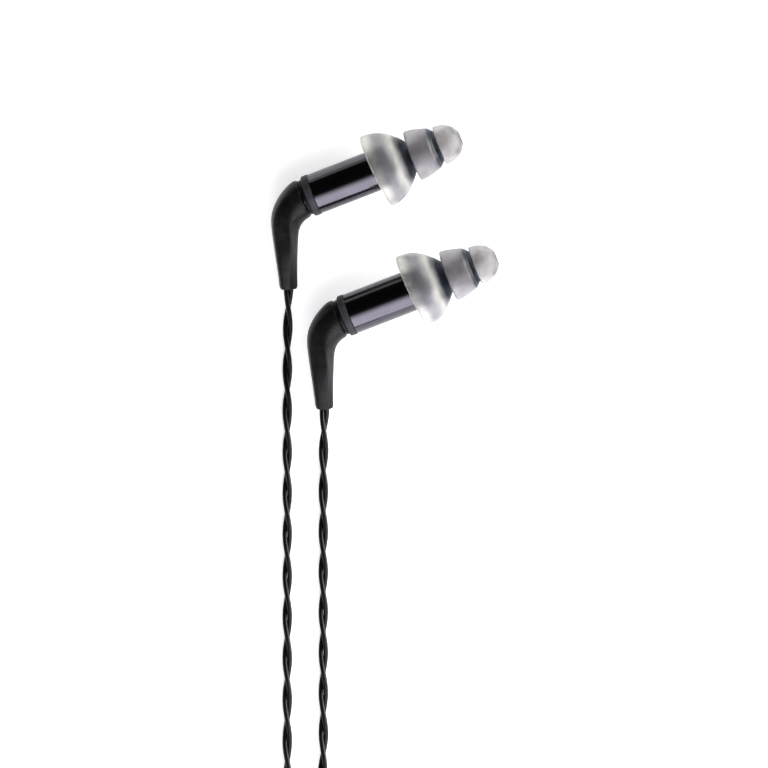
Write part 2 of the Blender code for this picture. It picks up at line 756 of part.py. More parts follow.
def slider(shop):
    """Cinch bead with a hole for each pair."""
    x, y = SLIDER_AT
    body = block("slider", SLIDER_SIZE, (x, y, SLIDER_SIZE[2] / 2), 0.30 * MM, 2)
    shop.keep(body, "boot_black")
    for sign in (-1, 1):
        hole = rod("slider_hole_tool", SLIDER_HOLE_RADIUS, SLIDER_SIZE[1] * 1.5, 16)
        hole.rotation_euler = (math.pi / 2, 0.0, 0.0)
        hole.location = (x + sign * SLIDER_HOLE_SPACING / 2, y, SLIDER_HOLE_HEIGHT)
        shop.cutter(hole)
        cut(body, hole)


def plug_piece(shop, name, profile, finish, sides=20, closed=True):
    """A turned piece of the plug; its profile runs back from the tip, along from the shoulder."""
    piece = turned(name, profile, sides, closed)
    piece.location = (PLUG_X, PLUG_SHOULDER_Y, PLUG_HEIGHT)
    piece.rotation_euler = (-math.pi / 2, 0.0, 0.0)
    shop.keep(piece, finish)


def plug_grip(shop):
    recess = CONTACT_RADIUS + 0.20 * MM
    grip = [
        (0.0, -GRIP_RECESS),
        (recess, -GRIP_RECESS),
        (recess, 0.0),
        (GRIP_RADIUS - 0.30 * MM, 0.0),
        (GRIP_RADIUS, -0.30 * MM),
        (GRIP_RADIUS, -GRIP_LENGTH + 2.5 * MM),
        (GRIP_RADIUS - 0.70 * MM, -GRIP_LENGTH + 0.5 * MM),
        (GRIP_RADIUS - 1.10 * MM, -GRIP_LENGTH),
        (0.0, -GRIP_LENGTH),
    ]
    plug_piece(shop, "plug_grip", grip, "cap_black", 24, closed=False)


def plug_relief(shop):
    start = -GRIP_LENGTH - 0.15 * MM
    end = start - RELIEF_LENGTH
    relief = [
        (0.0, start),
        (1.95 * MM, start),
        (1.80 * MM, start - 2.5 * MM),
        (1.40 * MM, end + 0.3 * MM),
        (1.25 * MM, end),
        (0.0, end),
    ]
    plug_piece(shop, "plug_relief", relief, "boot_black", 16, closed=False)


def ring_profile(rear, front, bore):
    return [(bore, front), (CONTACT_RADIUS, front), (CONTACT_RADIUS, rear), (bore, rear)]


def plug_contacts(shop):
    """Sleeve, ring and tip contacts parted by two insulating washers, in line on a centre rod."""
    gap = 0.06 * MM
    bore = CONTACT_CORE_RADIUS + 0.08 * MM
    rear_end = 0.12 * MM - GRIP_RECESS
    sleeve_end = 7.60 * MM
    washer = 0.60 * MM
    ring_end = sleeve_end + washer + 2.20 * MM
    tip_start = ring_end + washer
    tip_length = 14.0 * MM - tip_start
    stack = (
        ("plug_sleeve", rear_end, sleeve_end, "gold"),
        ("plug_washer_rear", sleeve_end + gap, sleeve_end + washer - gap, "insulator_white"),
        ("plug_ring", sleeve_end + washer, ring_end, "gold"),
        ("plug_washer_front", ring_end + gap, ring_end + washer - gap, "insulator_white"),
    )
    for name, rear, front, finish in stack:
        plug_piece(shop, name, ring_profile(rear, front, bore), finish)
    tip = [
        (0.0, tip_start + tip_length),
        (0.55 * MM, tip_start + tip_length - 0.15 * MM),
        (1.50 * MM, tip_start + tip_length - 1.55 * MM),
        (CONTACT_RADIUS, tip_start + 1.75 * MM),
        (1.20 * MM, tip_start + 1.00 * MM),
        (1.55 * MM, tip_start),
        (CONTACT_CORE_RADIUS, tip_start),
        (CONTACT_CORE_RADIUS, rear_end),
        (0.0, rear_end),
    ]
    plug_piece(shop, "plug_tip", tip, "gold", closed=False)


def cable_set(shop):
    pair_cords(shop)
    main_cord(shop)
    hank(shop)
    tie(shop)
    splitter(shop)
    slider(shop)
    plug_grip(shop)
    plug_relief(shop)
    plug_contacts(shop)


def main():
    clear_scene()
    shop = Workshop()
    for side in EARPIECES:
        earpiece(shop, side)
    cable_set(shop)


main()
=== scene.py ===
"""Finished surfaces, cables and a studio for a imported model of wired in-ear earphones.

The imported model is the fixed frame. Every piece made here is placed from it and moves with its
bodies.
"""

import json
import math

import bmesh
import bpy
from bpy.props import FloatProperty, FloatVectorProperty, IntProperty, PointerProperty
from mathutils import Matrix, Vector


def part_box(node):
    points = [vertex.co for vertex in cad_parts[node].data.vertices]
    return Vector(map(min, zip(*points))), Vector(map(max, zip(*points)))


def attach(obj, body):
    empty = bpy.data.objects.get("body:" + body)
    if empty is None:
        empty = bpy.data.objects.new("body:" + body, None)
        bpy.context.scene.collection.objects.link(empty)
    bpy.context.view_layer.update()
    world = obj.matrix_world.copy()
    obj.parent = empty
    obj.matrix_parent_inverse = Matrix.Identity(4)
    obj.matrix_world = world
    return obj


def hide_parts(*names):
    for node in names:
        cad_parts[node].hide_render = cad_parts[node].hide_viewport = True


bl_info = {
    "name": "Wired earphones",
    "version": (1, 0, 0),
    "blender": (4, 5, 0),
    "location": "3D View > Sidebar > Earphones",
    "description": "Builds the surfaces, cables and studio round packed wired in-ear earphones",
    "category": "Object",
}

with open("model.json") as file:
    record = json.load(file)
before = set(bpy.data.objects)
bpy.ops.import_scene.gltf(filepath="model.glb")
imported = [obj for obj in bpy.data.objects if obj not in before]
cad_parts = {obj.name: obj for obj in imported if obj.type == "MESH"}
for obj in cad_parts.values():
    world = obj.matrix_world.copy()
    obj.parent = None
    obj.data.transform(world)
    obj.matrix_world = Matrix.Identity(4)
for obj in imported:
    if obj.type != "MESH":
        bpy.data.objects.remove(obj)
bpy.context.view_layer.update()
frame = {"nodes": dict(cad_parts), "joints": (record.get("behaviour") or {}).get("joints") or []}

MM = 0.001
MERGE = 0.0000005
SIDES = ("left", "right")
JOINTS = {joint["name"]: joint for joint in frame["joints"]}

# Stations along an earpiece's axis, in millimetres, forward from the barrel's reference point.
BARREL_REAR = -4.80
BARREL_FRONT = 8.10
CAP_FRONT = -4.88
CAP_REAR = -6.05
MOUTH = -6.64
SOCKET_END = -8.70
NOZZLE_END = 16.90
NOZZLE_FLANGE = 6.55
PLUG_SHELL_REAR = -8.30
PLUG_SHELL_FRONT = -4.10
SNAP_GROOVE = -4.80

# Outside of each flange of a tip, from its front to its rim, as (station, radius).
TIP_FRONT_FLANGE = (
    (20.68, 1.24), (20.55, 1.46), (20.25, 1.90), (19.60, 2.54), (18.94, 2.89), (18.29, 3.11),
    (17.64, 3.22), (17.15, 3.25),
)
TIP_MIDDLE_FLANGE = (
    (17.12, 2.20), (16.98, 2.36), (16.66, 2.82), (16.33, 3.16), (16.00, 3.42), (15.68, 3.58),
    (14.70, 3.83), (13.72, 4.09), (12.90, 4.20), (12.45, 4.22),
)
TIP_REAR_FLANGE = (
    (12.30, 2.22), (12.08, 2.54), (11.75, 3.00), (11.43, 3.40), (10.78, 4.04), (9.80, 4.92),
    (8.82, 5.54), (7.84, 5.94), (6.86, 6.14), (6.00, 6.17),
)
TIP_CORE = 2.20
TIP_BORE = 1.73
TIP_SOUND_HOLE = 1.10
TIP_REAR = 9.10
TIP_STEP = 17.05
SKIRT = 0.46
SKIRT_ROOTS = (19.1, 15.7, 10.9)
LEAN_FROM = 11.8
LEAN_LENGTH = 5.8
LEAN_DROP = 0.20
LEAN_TURN = 0.065

# Boot outlines in plan from the mouth to the end of the stem, from the barrel's reference point,
# with the height of the middle, half the thickness, the places of the two creases from outer (-1)
# to inner (1), and how far each ring has gone from round (0) to faceted (1).
BOOT_OUTER = (
    (-7.28, 0.39), (-7.60, 0.54), (-8.35, 0.24), (-9.29, -0.73), (-10.23, -1.88), (-11.01, -3.26),
    (-11.50, -4.66), (-11.64, -6.04), (-11.50, -7.67), (-11.21, -9.78), (-10.80, -12.54),
    (-10.38, -15.30), (-10.28, -16.66), (-10.12, -17.04),
)
BOOT_INNER = (
    (-5.07, -5.31), (-5.26, -5.55), (-6.04, -6.03), (-6.63, -6.76), (-6.97, -7.67), (-7.08, -8.64),
    (-7.13, -9.61), (-7.16, -10.43), (-7.19, -11.16), (-7.23, -11.89), (-7.26, -13.35),
    (-7.26, -15.54), (-7.20, -16.70), (-7.34, -17.04),
)
BOOT_HEIGHT = (
    -0.69, -0.73, -0.82, -0.98, -1.18, -1.42, -1.67, -1.92, -2.17, -2.52, -3.07, -3.78, -4.11,
    -4.20,
)
BOOT_THICKNESS = (
    3.00, 3.20, 3.25, 3.20, 3.10, 2.95, 2.78, 2.60, 2.40, 2.20, 1.85, 1.55, 1.44, 1.28,
)
BOOT_CREASE_OUTER = (
    -0.80, -0.80, -0.80, -0.80, -0.79, -0.78, -0.78, -0.79, -0.80, -0.80, -0.80, -0.80, -0.78,
    -0.76,
)
BOOT_CREASE_INNER = (
    0.20, 0.20, 0.20, 0.24, 0.32, 0.42, 0.50, 0.54, 0.54, 0.50, 0.40, 0.22, 0.16, 0.14,
)
BOOT_FACETED = (0.0, 0.0, 0.08, 0.30, 0.60, 0.85, 1.0, 1.0, 1.0, 1.0, 1.0, 1.0, 0.9, 0.7)

# The twisted pairs' routes from the boots to the hank, and the main cable's from there to the plug.
LEFT_ROUTE = (
    (-15.53, -3.66, 1.31), (-15.61, -7.0, 1.05), (-15.70, -11.0, 0.84), (-15.75, -18.0, 0.81),
    (-15.76, -28.0, 0.81), (-15.76, -40.0, 0.81), (-15.76, -52.0, 0.81), (-15.76, -64.0, 0.81),
    (-15.76, -75.0, 0.81), (-15.70, -82.0, 0.81), (-15.20, -86.5, 0.81), (-14.30, -90.5, 0.85),
    (-13.65, -94.0, 1.12), (-13.50, -98.0, 1.25), (-13.50, -106.0, 1.25), (-13.50, -114.0, 1.25),
    (-13.50, -122.0, 1.25), (-13.50, -125.6, 1.10),
)
RIGHT_ROUTE = (
    (-9.69, -23.15, 1.31), (-9.78, -26.5, 1.05), (-9.84, -30.5, 0.84), (-9.87, -38.0, 0.81),
    (-9.88, -48.0, 0.81), (-9.88, -60.0, 0.81), (-9.88, -72.0, 0.81), (-9.88, -79.0, 0.84),
    (-10.25, -83.5, 1.08), (-11.80, -87.3, 2.15), (-14.10, -90.3, 2.62), (-15.85, -93.4, 2.05),
    (-16.50, -97.5, 1.25), (-16.50, -106.0, 1.25), (-16.50, -114.0, 1.25), (-16.50, -122.0, 1.25),
    (-16.05, -126.5, 1.10), (-15.75, -129.2, 0.95),
)
MAIN_ROUTE = (
    (-2.40, -182.6, 6.55), (2.50, -185.6, 5.30), (9.50, -187.0, 4.05), (17.0, -185.6, 3.35),
    (23.0, -181.2, 3.26), (26.0, -175.2, 3.26), (26.4, -170.0, 3.26), (26.4, -167.0, 3.26),
)

# Hank: a stadium winding about a middle line, with lanes counted outwards from it.
HANK_X = 2.60
HANK_TOP = -137.0
HANK_BOTTOM = -169.0
TIE_Y = -149.0
TIE_WIDTH = 7.0
TIE_THICKNESS = 0.50
TIE_RISE = 0.62
TIE_RISE_REACH = 14.0
MAIN_LANES = (7.4, 9.6)
MAIN_LAYERS = (1.0, 3.03, 5.06, 7.09)
LEFT_LANES = (16.1, 12.3)
RIGHT_LANES = (17.9, 14.1)
PAIR_LAYER = 0.81
PAIR_END_HEIGHT = 1.25
HANK_LEGS = ("top", "left", "bottom", "right")
MAIN_LEGS = 26
MAIN_SPACING = 1.3
POINTS_PER_TWIST = 18
CURVE_STEPS = 24

# Strap round the hank: where its side ends and its top begins, and the loose tail laid over it.
TIE_KNEE = 2.45
TIE_SHOULDER = 11.2
TIE_TAIL = (-9.4, -6.0, -3.0, 0.0, 3.5, 6.5, 9.0)
TIE_SOFTNESS = 0.12

# Splitter and slider: rounding, grooves along their length, and the slider's two holes.
SPLITTER_CORNER = 1.25
SPLITTER_RIM = 0.55
SPLITTER_GROOVES = (-5.6, -4.9, -4.2, 4.2, 4.9, 5.6)
SPLITTER_GROOVE_HALF = 0.17
SPLITTER_OVERLAP = 0.8
SLIDER_CORNER = 1.05
SLIDER_RIM = 0.28
SLIDER_GROOVES = (-1.6, 0.0, 1.6)
SLIDER_GROOVE_HALF = 0.22
SLIDER_HOLE_RADIUS = 0.92
SLIDER_HOLE_HEIGHT = 1.25
SLIDER_HOLE_OFFSET = 1.5

# Plug: middles of the grooves round its grip, and of the ribs along its strain relief.
GRIP_RADIUS = 3.25
GRIP_GROOVES = (-9.6, -10.5, -11.4, -12.3)
RELIEF_RIBS = 5
RELIEF_FIRST_RIB = -17.5
RELIEF_PITCH = 1.15

# Silicone: the stretch of stations that its painted light and shade are spread over.
SILICONE_FROM = 5.0
SILICONE_TO = 21.0

# Stage: the film and floor, each softbox's direction as (sideways, up) and its size in metres, and
# the backdrop's strength as a light and as looked at.
SENSOR_WIDTH = 36.0
FLOOR_HALF = 3.0
FLOOR_DROP = 0.02
PANEL_DISTANCE = 0.50
KEY_WAY = (0.731, 0.682)
KEY_SIZE = (0.70, 0.80)
KEY_FADE = 0.50
RIM_WAY = (0.99, 0.14)
RIM_SIZE = (0.70, 0.12)
END_WAY = (0.97, 0.24)
END_SIZE = (0.60, 0.22)
LEFT_END_SHARE = 0.10
BACKDROP_LIT = 0.02
BACKDROP_SEEN = 1.0
WHITE = (1.0, 1.0, 1.0)
KEY_TINT = (0.93, 0.90, 1.0)
RIM_TINT = (1.0, 1.0, 0.90)


# ---------------------------------------------------------------- settings

class EarpieceSettings(bpy.types.PropertyGroup):
    barrel_radius: FloatProperty(
        name="Barrel radius", description="Outside radius of the metal barrel",
        default=3.38 * MM, min=2.0 * MM, max=5.0 * MM, precision=5, unit="LENGTH",
    )
    cap_radius: FloatProperty(
        name="Collar radius", description="Outside radius of the matt collar behind the barrel",
        default=3.44 * MM, min=2.0 * MM, max=5.0 * MM, precision=5, unit="LENGTH",
    )
    nozzle_radius: FloatProperty(
        name="Nozzle radius", description="Outside radius of the sound nozzle",
        default=1.62 * MM, min=1.3 * MM, max=1.7 * MM, precision=5, unit="LENGTH",
    )
    facets: IntProperty(
        name="Turning steps", description="Faces round each turned piece",
        default=96, min=24, max=256,
    )
    barrel_colour: FloatVectorProperty(
        name="Barrel", description="Reflected colour of the gloss black anodised barrel",
        default=(0.082, 0.079, 0.088), min=0.0, max=1.0, subtype="COLOR",
    )
    collar_colour: FloatVectorProperty(
        name="Collar", description="Colour of the matt black collar",
        default=(0.042, 0.041, 0.045), min=0.0, max=1.0, subtype="COLOR",
    )
    boot_colour: FloatVectorProperty(
        name="Boot", description="Colour of the grained rubber boot",
        default=(0.0060, 0.0058, 0.0055), min=0.0, max=1.0, subtype="COLOR",
    )
    silicone_colour: FloatVectorProperty(
        name="Silicone", description="Colour of the frosted silicone flanges",
        default=(0.85, 0.842, 0.780), min=0.0, max=1.0, subtype="COLOR",
    )
    # Painted shade: the clear necks are coloured dark, standing in for the dark nozzle seen through
    # them.
    neck_painted_shade: FloatVectorProperty(
        name="Silicone neck", description="Colour of the clear silicone between the flanges",
        default=(0.012, 0.020, 0.042), min=0.0, max=1.0, subtype="COLOR",
    )


class CableSettings(bpy.types.PropertyGroup):
    strand_diameter: FloatProperty(
        name="Strand diameter", description="Thickness of one strand of a twisted pair",
        default=0.81 * MM, min=0.3 * MM, max=1.2 * MM, precision=5, unit="LENGTH",
    )
    main_diameter: FloatProperty(
        name="Main cable diameter", description="Thickness of the cable below the splitter",
        default=2.00 * MM, min=1.0 * MM, max=2.2 * MM, precision=5, unit="LENGTH",
    )
    left_twist: FloatProperty(
        name="Left twist", description="Length of one full turn of the left pair",
        default=13.46 * MM, min=6.0 * MM, max=30.0 * MM, precision=5, unit="LENGTH",
    )
    right_twist: FloatProperty(
        name="Right twist", description="Length of one full turn of the right pair",
        default=13.14 * MM, min=6.0 * MM, max=30.0 * MM, precision=5, unit="LENGTH",
    )
    left_first_crossing: FloatProperty(
        name="Left first crossing",
        description="Where one strand first lies straight over the other",
        default=-19.75 * MM, precision=5, unit="LENGTH",
    )
    right_first_crossing: FloatProperty(
        name="Right first crossing",
        description="Where one strand first lies straight over the other",
        default=-26.40 * MM, precision=5, unit="LENGTH",
    )
    jacket_colour: FloatVectorProperty(
        name="Jacket", description="Colour of the cable jackets",
        default=(0.0028, 0.0028, 0.0030), min=0.0, max=1.0, subtype="COLOR",
    )
    strap_colour: FloatVectorProperty(
        name="Strap", description="Colour of the woven tie",
        default=(0.012, 0.012, 0.013), min=0.0, max=1.0, subtype="COLOR",
    )
    contact_colour: FloatVectorProperty(
        name="Contacts", description="Colour of the gilt contacts",
        default=(0.86, 0.62, 0.24), min=0.0, max=1.0, subtype="COLOR",
    )


class StageSettings(bpy.types.PropertyGroup):
    aim_x: FloatProperty(
        name="Aim across", description="Where the camera looks on the table, across",
        default=0.015 * MM, precision=5, unit="LENGTH",
    )
    aim_y: FloatProperty(
        name="Aim along", description="Where the camera looks on the table, along the cables",
        default=-18.88 * MM, precision=5, unit="LENGTH",
    )
    camera_height: FloatProperty(
        name="Camera height", description="Height of the camera over the earpieces' middle",
        default=1.3867, min=0.1, max=3.0, unit="LENGTH",
    )
    focal_length: FloatProperty(
        name="Focal length", description="Focal length of the lens in millimetres",
        default=400.0, min=20.0, max=800.0,
    )
    floor_colour: FloatVectorProperty(
        name="Floor", description="Colour of the plain pale floor",
        default=(0.90, 0.90, 0.90), min=0.0, max=1.0, subtype="COLOR",
    )
    floor_glow: FloatProperty(
        name="Floor glow", description="Light given by the white acrylic table itself",
        default=0.55, min=0.0,
    )
    key_strength: FloatProperty(
        name="Key light", description="Brightness of the large softbox along the lower side",
        default=4.4, min=0.0,
    )
    end_strength: FloatProperty(
        name="End lights", description="Brightness of each softbox off the two ends",
        default=15.0, min=0.0,
    )
    rim_strength: FloatProperty(
        name="Rim light", description="Brightness of the low softbox along the upper side",
        default=0.8, min=0.0,
    )


# ---------------------------------------------------------------- finishes

class Finish:
    """One procedural material: a Principled shader, with patterns read from object coordinates."""

    def __init__(self, name, colour, roughness, metallic=0.0, plain=None):
        self.material = bpy.data.materials.new(name)
        self.material.use_nodes = True
        self.tree = self.material.node_tree
        self.shader = self.tree.nodes["Principled BSDF"]
        self.shader.inputs["Base Color"].default_value = (*colour, 1.0)
        self.shader.inputs["Roughness"].default_value = roughness
        self.shader.inputs["Metallic"].default_value = metallic
        for socket, value in (plain or {}).items():
            self.shader.inputs[socket].default_value = value
        self.place = self.tree.nodes.new("ShaderNodeTexCoord").outputs["Object"]

    def node(self, kind, inputs, **settings):
        made = self.tree.nodes.new(kind)
        for name, value in settings.items():
            setattr(made, name, value)
        for socket, value in inputs.items():
            if isinstance(value, bpy.types.NodeSocket):
                self.tree.links.new(value, made.inputs[socket])
            else:
                made.inputs[socket].default_value = value
        return made

    def noise(self, grain, detail):
        """Soft noise whose features are about `grain` metres across."""
        texture = self.node(
            "ShaderNodeTexNoise", {"Vector": self.place, "Scale": 1.0 / grain, "Detail": detail}
        )
        return texture.outputs["Fac"]

    def cells(self, grain):
        """Distance to the nearest of points scattered about `grain` metres apart."""
        texture = self.node("ShaderNodeTexVoronoi", {"Vector": self.place, "Scale": 1.0 / grain})
        return texture.outputs["Distance"]

    def along(self):
        """The station along a turned piece's axis, in millimetres."""
        return self.node("ShaderNodeAttribute", {}, attribute_name="along").outputs["Fac"]

    def ranged(self, value, low, high, from_low=0.0, from_high=1.0):
        mapped = self.node(
            "ShaderNodeMapRange",
            {
                "Value": value, "From Min": from_low, "From Max": from_high,
                "To Min": low, "To Max": high,
            },
        )
        return mapped.outputs["Result"]

    def sum(self, first, second, operation="ADD"):
        return self.node("ShaderNodeMath", {0: first, 1: second}, operation=operation).outputs[0]

    def ramp(self, value, stops):
        """Colours by place from 0 to 1: (place, colour) pairs."""
        made = self.node("ShaderNodeValToRGB", {"Fac": value})
        elements = made.color_ramp.elements
        while len(elements) < len(stops):
            elements.new(0.5)
        for element, (place, colour) in zip(elements, stops):
            element.position = place
            element.color = (*colour, 1.0)
        return made.outputs["Color"]

    def colour(self, socket):
        self.tree.links.new(socket, self.shader.inputs["Base Color"])

    def shaded(self, value, colour, *stops):
        """Vary the base colour with a pattern, by (place, factor) stops."""
        self.colour(self.ramp(value, [(place, shade(colour, factor)) for place, factor in stops]))

    def roughness(self, value, low, high):
        self.tree.links.new(self.ranged(value, low, high), self.shader.inputs["Roughness"])

    def bump(self, height, depth, strength=1.0):
        raised = self.node(
            "ShaderNodeBump", {"Height": height, "Distance": depth, "Strength": strength}
        )
        self.tree.links.new(raised.outputs["Normal"], self.shader.inputs["Normal"])


def shade(colour, factor):
    return tuple(min(1.0, channel * factor) for channel in colour)


def moulded(name, colour, roughness, grain, depth, plain=None):
    """A moulded plastic or rubber with a fine spark-eroded grain."""
    finish = Finish(name, colour, roughness, plain=plain)
    patches = finish.noise(grain * 14, 3.0)
    finish.shaded(patches, colour, (0.30, 0.82), (0.70, 1.20))
    fine = finish.noise(grain, 3.0)
    finish.roughness(fine, roughness - 0.10, roughness + 0.10)
    finish.bump(fine, depth)
    return finish.material


def metal(name, colour, roughness):
    """A turned or plated metal with faint machining streaks."""
    finish = Finish(name, colour, roughness, metallic=1.0)
    cloud = finish.noise(1.2 * MM, 3.0)
    finish.shaded(cloud, colour, (0.25, 0.90), (0.75, 1.08))
    streaks = finish.noise(0.12 * MM, 2.0)
    finish.roughness(streaks, roughness - 0.04, roughness + 0.05)
    finish.bump(streaks, 0.0015 * MM)
    return finish.material


def boot_finish(colour):
    """Grained black rubber with a few pale specks of dust-fine texture."""
    finish = Finish("boot_rubber", colour, 0.36, plain={"Specular IOR Level": 0.14})
    speckle = finish.cells(0.33 * MM)
    cloud = finish.noise(1.6 * MM, 3.0)
    mixed = finish.sum(finish.ranged(speckle, 0.36, 0.0, 0.05, 0.60), cloud)
    finish.shaded(mixed, colour, (0.34, 0.72), (0.58, 1.0), (0.86, 2.1))
    fine = finish.noise(0.16 * MM, 4.0)
    finish.roughness(fine, 0.28, 0.40)
    finish.bump(finish.sum(fine, speckle), 0.012 * MM, 0.8)
    return finish.material


def barrel_finish(colour):
    """Gloss black anodised metal with faint hairlines run along the barrel."""
    finish = Finish("anodised_gloss_black", colour, 0.14, metallic=1.0)
    haze = finish.noise(2.4 * MM, 2.0)
    finish.shaded(haze, colour, (0.25, 0.92), (0.75, 1.10))
    hairlines = finish.noise(0.30 * MM, 3.0)
    finish.roughness(hairlines, 0.11, 0.19)
    finish.bump(hairlines, 0.0012 * MM)
    return finish.material


def silicone_finish(colour, neck):
    """Frosted translucent flanges and clear necks over the dark nozzle, with painted light and
    shade along the axis.
    """
    finish = Finish(
        "frosted_silicone", colour, 0.36,
        plain={"Transmission Weight": 0.88, "IOR": 1.38, "Specular IOR Level": 0.1},
    )
    cloud = finish.ranged(finish.noise(1.7 * MM, 2.0), -0.14, 0.14)
    blurred = finish.sum(finish.along(), cloud)
    station = finish.ranged(blurred, 0.0, 1.0, SILICONE_FROM, SILICONE_TO)
    # Painted shade over the barrel behind the rear flange and over the nozzle inside the middle
    # flange; the front flange a little darker and bluer.
    painted_barrel_shade, middle, dome = (
        tuple(channel * part for channel, part in zip(colour, parts))
        for parts in ((0.57, 0.575, 0.655), (0.69, 0.68, 0.745), (0.90, 0.89, 0.94))
    )
    # Painted light and shade by station: a lighter rim, painted shade over the barrel, dark necks
    # for the nozzle seen through them, painted shade in the middle flange, and the front flange
    # darker towards its front.
    stops = [
        (6.5, shade(colour, 1.08)), (7.7, painted_barrel_shade), (8.7, painted_barrel_shade), (10.0, colour), (11.2, neck),
        (12.3, neck), (12.6, middle), (15.3, middle), (15.80, middle), (16.05, neck),
        (17.10, neck), (17.20, dome), (20.6, shade(dome, 0.74)),
    ]
    reach = SILICONE_TO - SILICONE_FROM
    tint = finish.ramp(station, [((at - SILICONE_FROM) / reach, tone) for at, tone in stops])
    mottle = finish.ranged(finish.noise(1.9 * MM, 5.0), 0.84, 1.09, 0.36, 0.60)
    mottled = finish.node(
        "ShaderNodeVectorMath", {0: tint, "Scale": mottle}, operation="SCALE"
    )
    finish.colour(mottled.outputs[0])
    finish.bump(finish.noise(0.5 * MM, 2.0), 0.010 * MM, 0.5)
    return finish.material


def jacket_finish(colour):
    """Supple black cable jacket with a soft sheen and the faint waviness of extruded plastic."""
    finish = Finish("cable_jacket", colour, 0.36, plain={"Specular IOR Level": 0.22})
    waves = finish.noise(1.1 * MM, 3.0)
    finish.shaded(waves, colour, (0.30, 0.80), (0.75, 1.35))
    fine = finish.noise(0.20 * MM, 2.0)
    finish.roughness(fine, 0.24, 0.36)
    finish.bump(waves, 0.020 * MM, 0.5)
    return finish.material


def woven_finish(colour):
    """Woven strap: crossed ribs a third of a millimetre apart with a little fuzz."""
    finish = Finish(
        "woven_strap", colour, 0.85, plain={"Sheen Weight": 0.08, "Specular IOR Level": 0.2}
    )
    ribs = []
    for direction in ("X", "Y"):
        wave = finish.node(
            "ShaderNodeTexWave",
            {"Vector": finish.place, "Scale": 950.0, "Distortion": 1.2, "Detail": 2.0},
            bands_direction=direction,
        )
        ribs.append(wave.outputs["Fac"])
    weave = finish.sum(ribs[0], ribs[1], "MULTIPLY")
    finish.shaded(weave, colour, (0.05, 0.5), (0.80, 1.9))
    finish.bump(weave, 0.06 * MM, 0.8)
    return finish.material


FINISHES = {}


def make_finishes(pieces, cables):
    """Every finish in the set, by name."""
    FINISHES.update(
        silicone=silicone_finish(tuple(pieces.silicone_colour), tuple(pieces.neck_painted_shade)),
        barrel=barrel_finish(tuple(pieces.barrel_colour)),
        collar=moulded(
            "matt_black_collar", tuple(pieces.collar_colour), 0.42, 0.10 * MM, 0.004 * MM,
            plain={"Specular IOR Level": 0.08},
        ),
        boot=boot_finish(tuple(pieces.boot_colour)),
        nozzle=moulded(
            "nozzle_black", (0.004, 0.004, 0.006), 0.40, 0.12 * MM, 0.003 * MM,
            plain={"Specular IOR Level": 0.12},
        ),
        jacket=jacket_finish(tuple(cables.jacket_colour)),
        strap=woven_finish(tuple(cables.strap_colour)),
        gilt=metal("gilt_contact", tuple(cables.contact_colour), 0.20),
        steel=metal("receiver_steel", (0.62, 0.61, 0.59), 0.30),
        bronze=metal("spring_bronze", (0.58, 0.40, 0.20), 0.30),
        copper=metal("enamelled_copper", (0.72, 0.28, 0.12), 0.28),
        mesh=metal("filter_mesh", (0.44, 0.45, 0.44), 0.42),
        insulator=moulded("insulator_white", (0.78, 0.77, 0.72), 0.44, 0.12 * MM, 0.003 * MM),
        gasket=moulded("gasket_grey", (0.09, 0.09, 0.10), 0.68, 0.14 * MM, 0.008 * MM),
    )


# ---------------------------------------------------------------- shaping

def axis_frame(side):
    """The earpiece's own frame: +X runs out through the nozzle, +Y lies level."""
    joint = JOINTS[side + "_turn"]
    forward = Vector(joint["axis"]).normalized()
    level = Vector((0.0, 0.0, 1.0)).cross(forward).normalized()
    upward = forward.cross(level)
    turn = Matrix((forward, level, upward)).transposed().to_4x4()
    return Matrix.Translation(Vector(joint["pos_m"])) @ turn


def plug_frame():
    """The plug's frame: +X runs out of the shoulder through the contacts."""
    low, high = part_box("plug_grip")
    shoulder = Vector(((low.x + high.x) / 2, high.y, (low.z + high.z) / 2))
    return Matrix.Translation(shoulder) @ Matrix.Rotation(math.pi / 2, 4, "Z")


def placed(name, bm, material):
    """Turn a bmesh into an object at the origin."""
    mesh = bpy.data.meshes.new(name)
    bm.to_mesh(mesh)
    bm.free()
    mesh.materials.append(material)
    made = bpy.data.objects.new(name, mesh)
    bpy.context.scene.collection.objects.link(made)
    return made


def finished(name, bm, finish, angle=38.0):
    """Turn a bmesh into a smooth-shaded piece, creased where it turns sharply."""
    piece = placed(name, bm, FINISHES[finish])
    piece.data.shade_smooth()
    piece.data.set_sharp_from_angle(angle=math.radians(angle))
    return piece


def clean(bm):
    bmesh.ops.remove_doubles(bm, verts=bm.verts[:], dist=MERGE)
    bmesh.ops.recalc_face_normals(bm, faces=bm.faces[:])


def rounded(bm, geom, offset, segments, affect="EDGES"):
    """Round edges or corners off by `offset` millimetres."""
    bmesh.ops.bevel(
        bm, geom=geom, offset=offset * MM, offset_type="OFFSET", affect=affect,
        segments=segments, profile=0.5, material=-1,
    )


def cut_across(bm, station):
    """Add a ring of edges across a piece at a station along Y, in millimetres."""
    bmesh.ops.bisect_plane(
        bm, geom=bm.verts[:] + bm.edges[:] + bm.faces[:], dist=MERGE,
        plane_co=(0.0, station * MM, 0.0), plane_no=(0.0, 1.0, 0.0),
    )


def fitted(piece, body, nodes):
    """Put a finished piece on its body, in place of its CAD nodes."""
    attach(piece, body)
    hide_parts(*nodes)


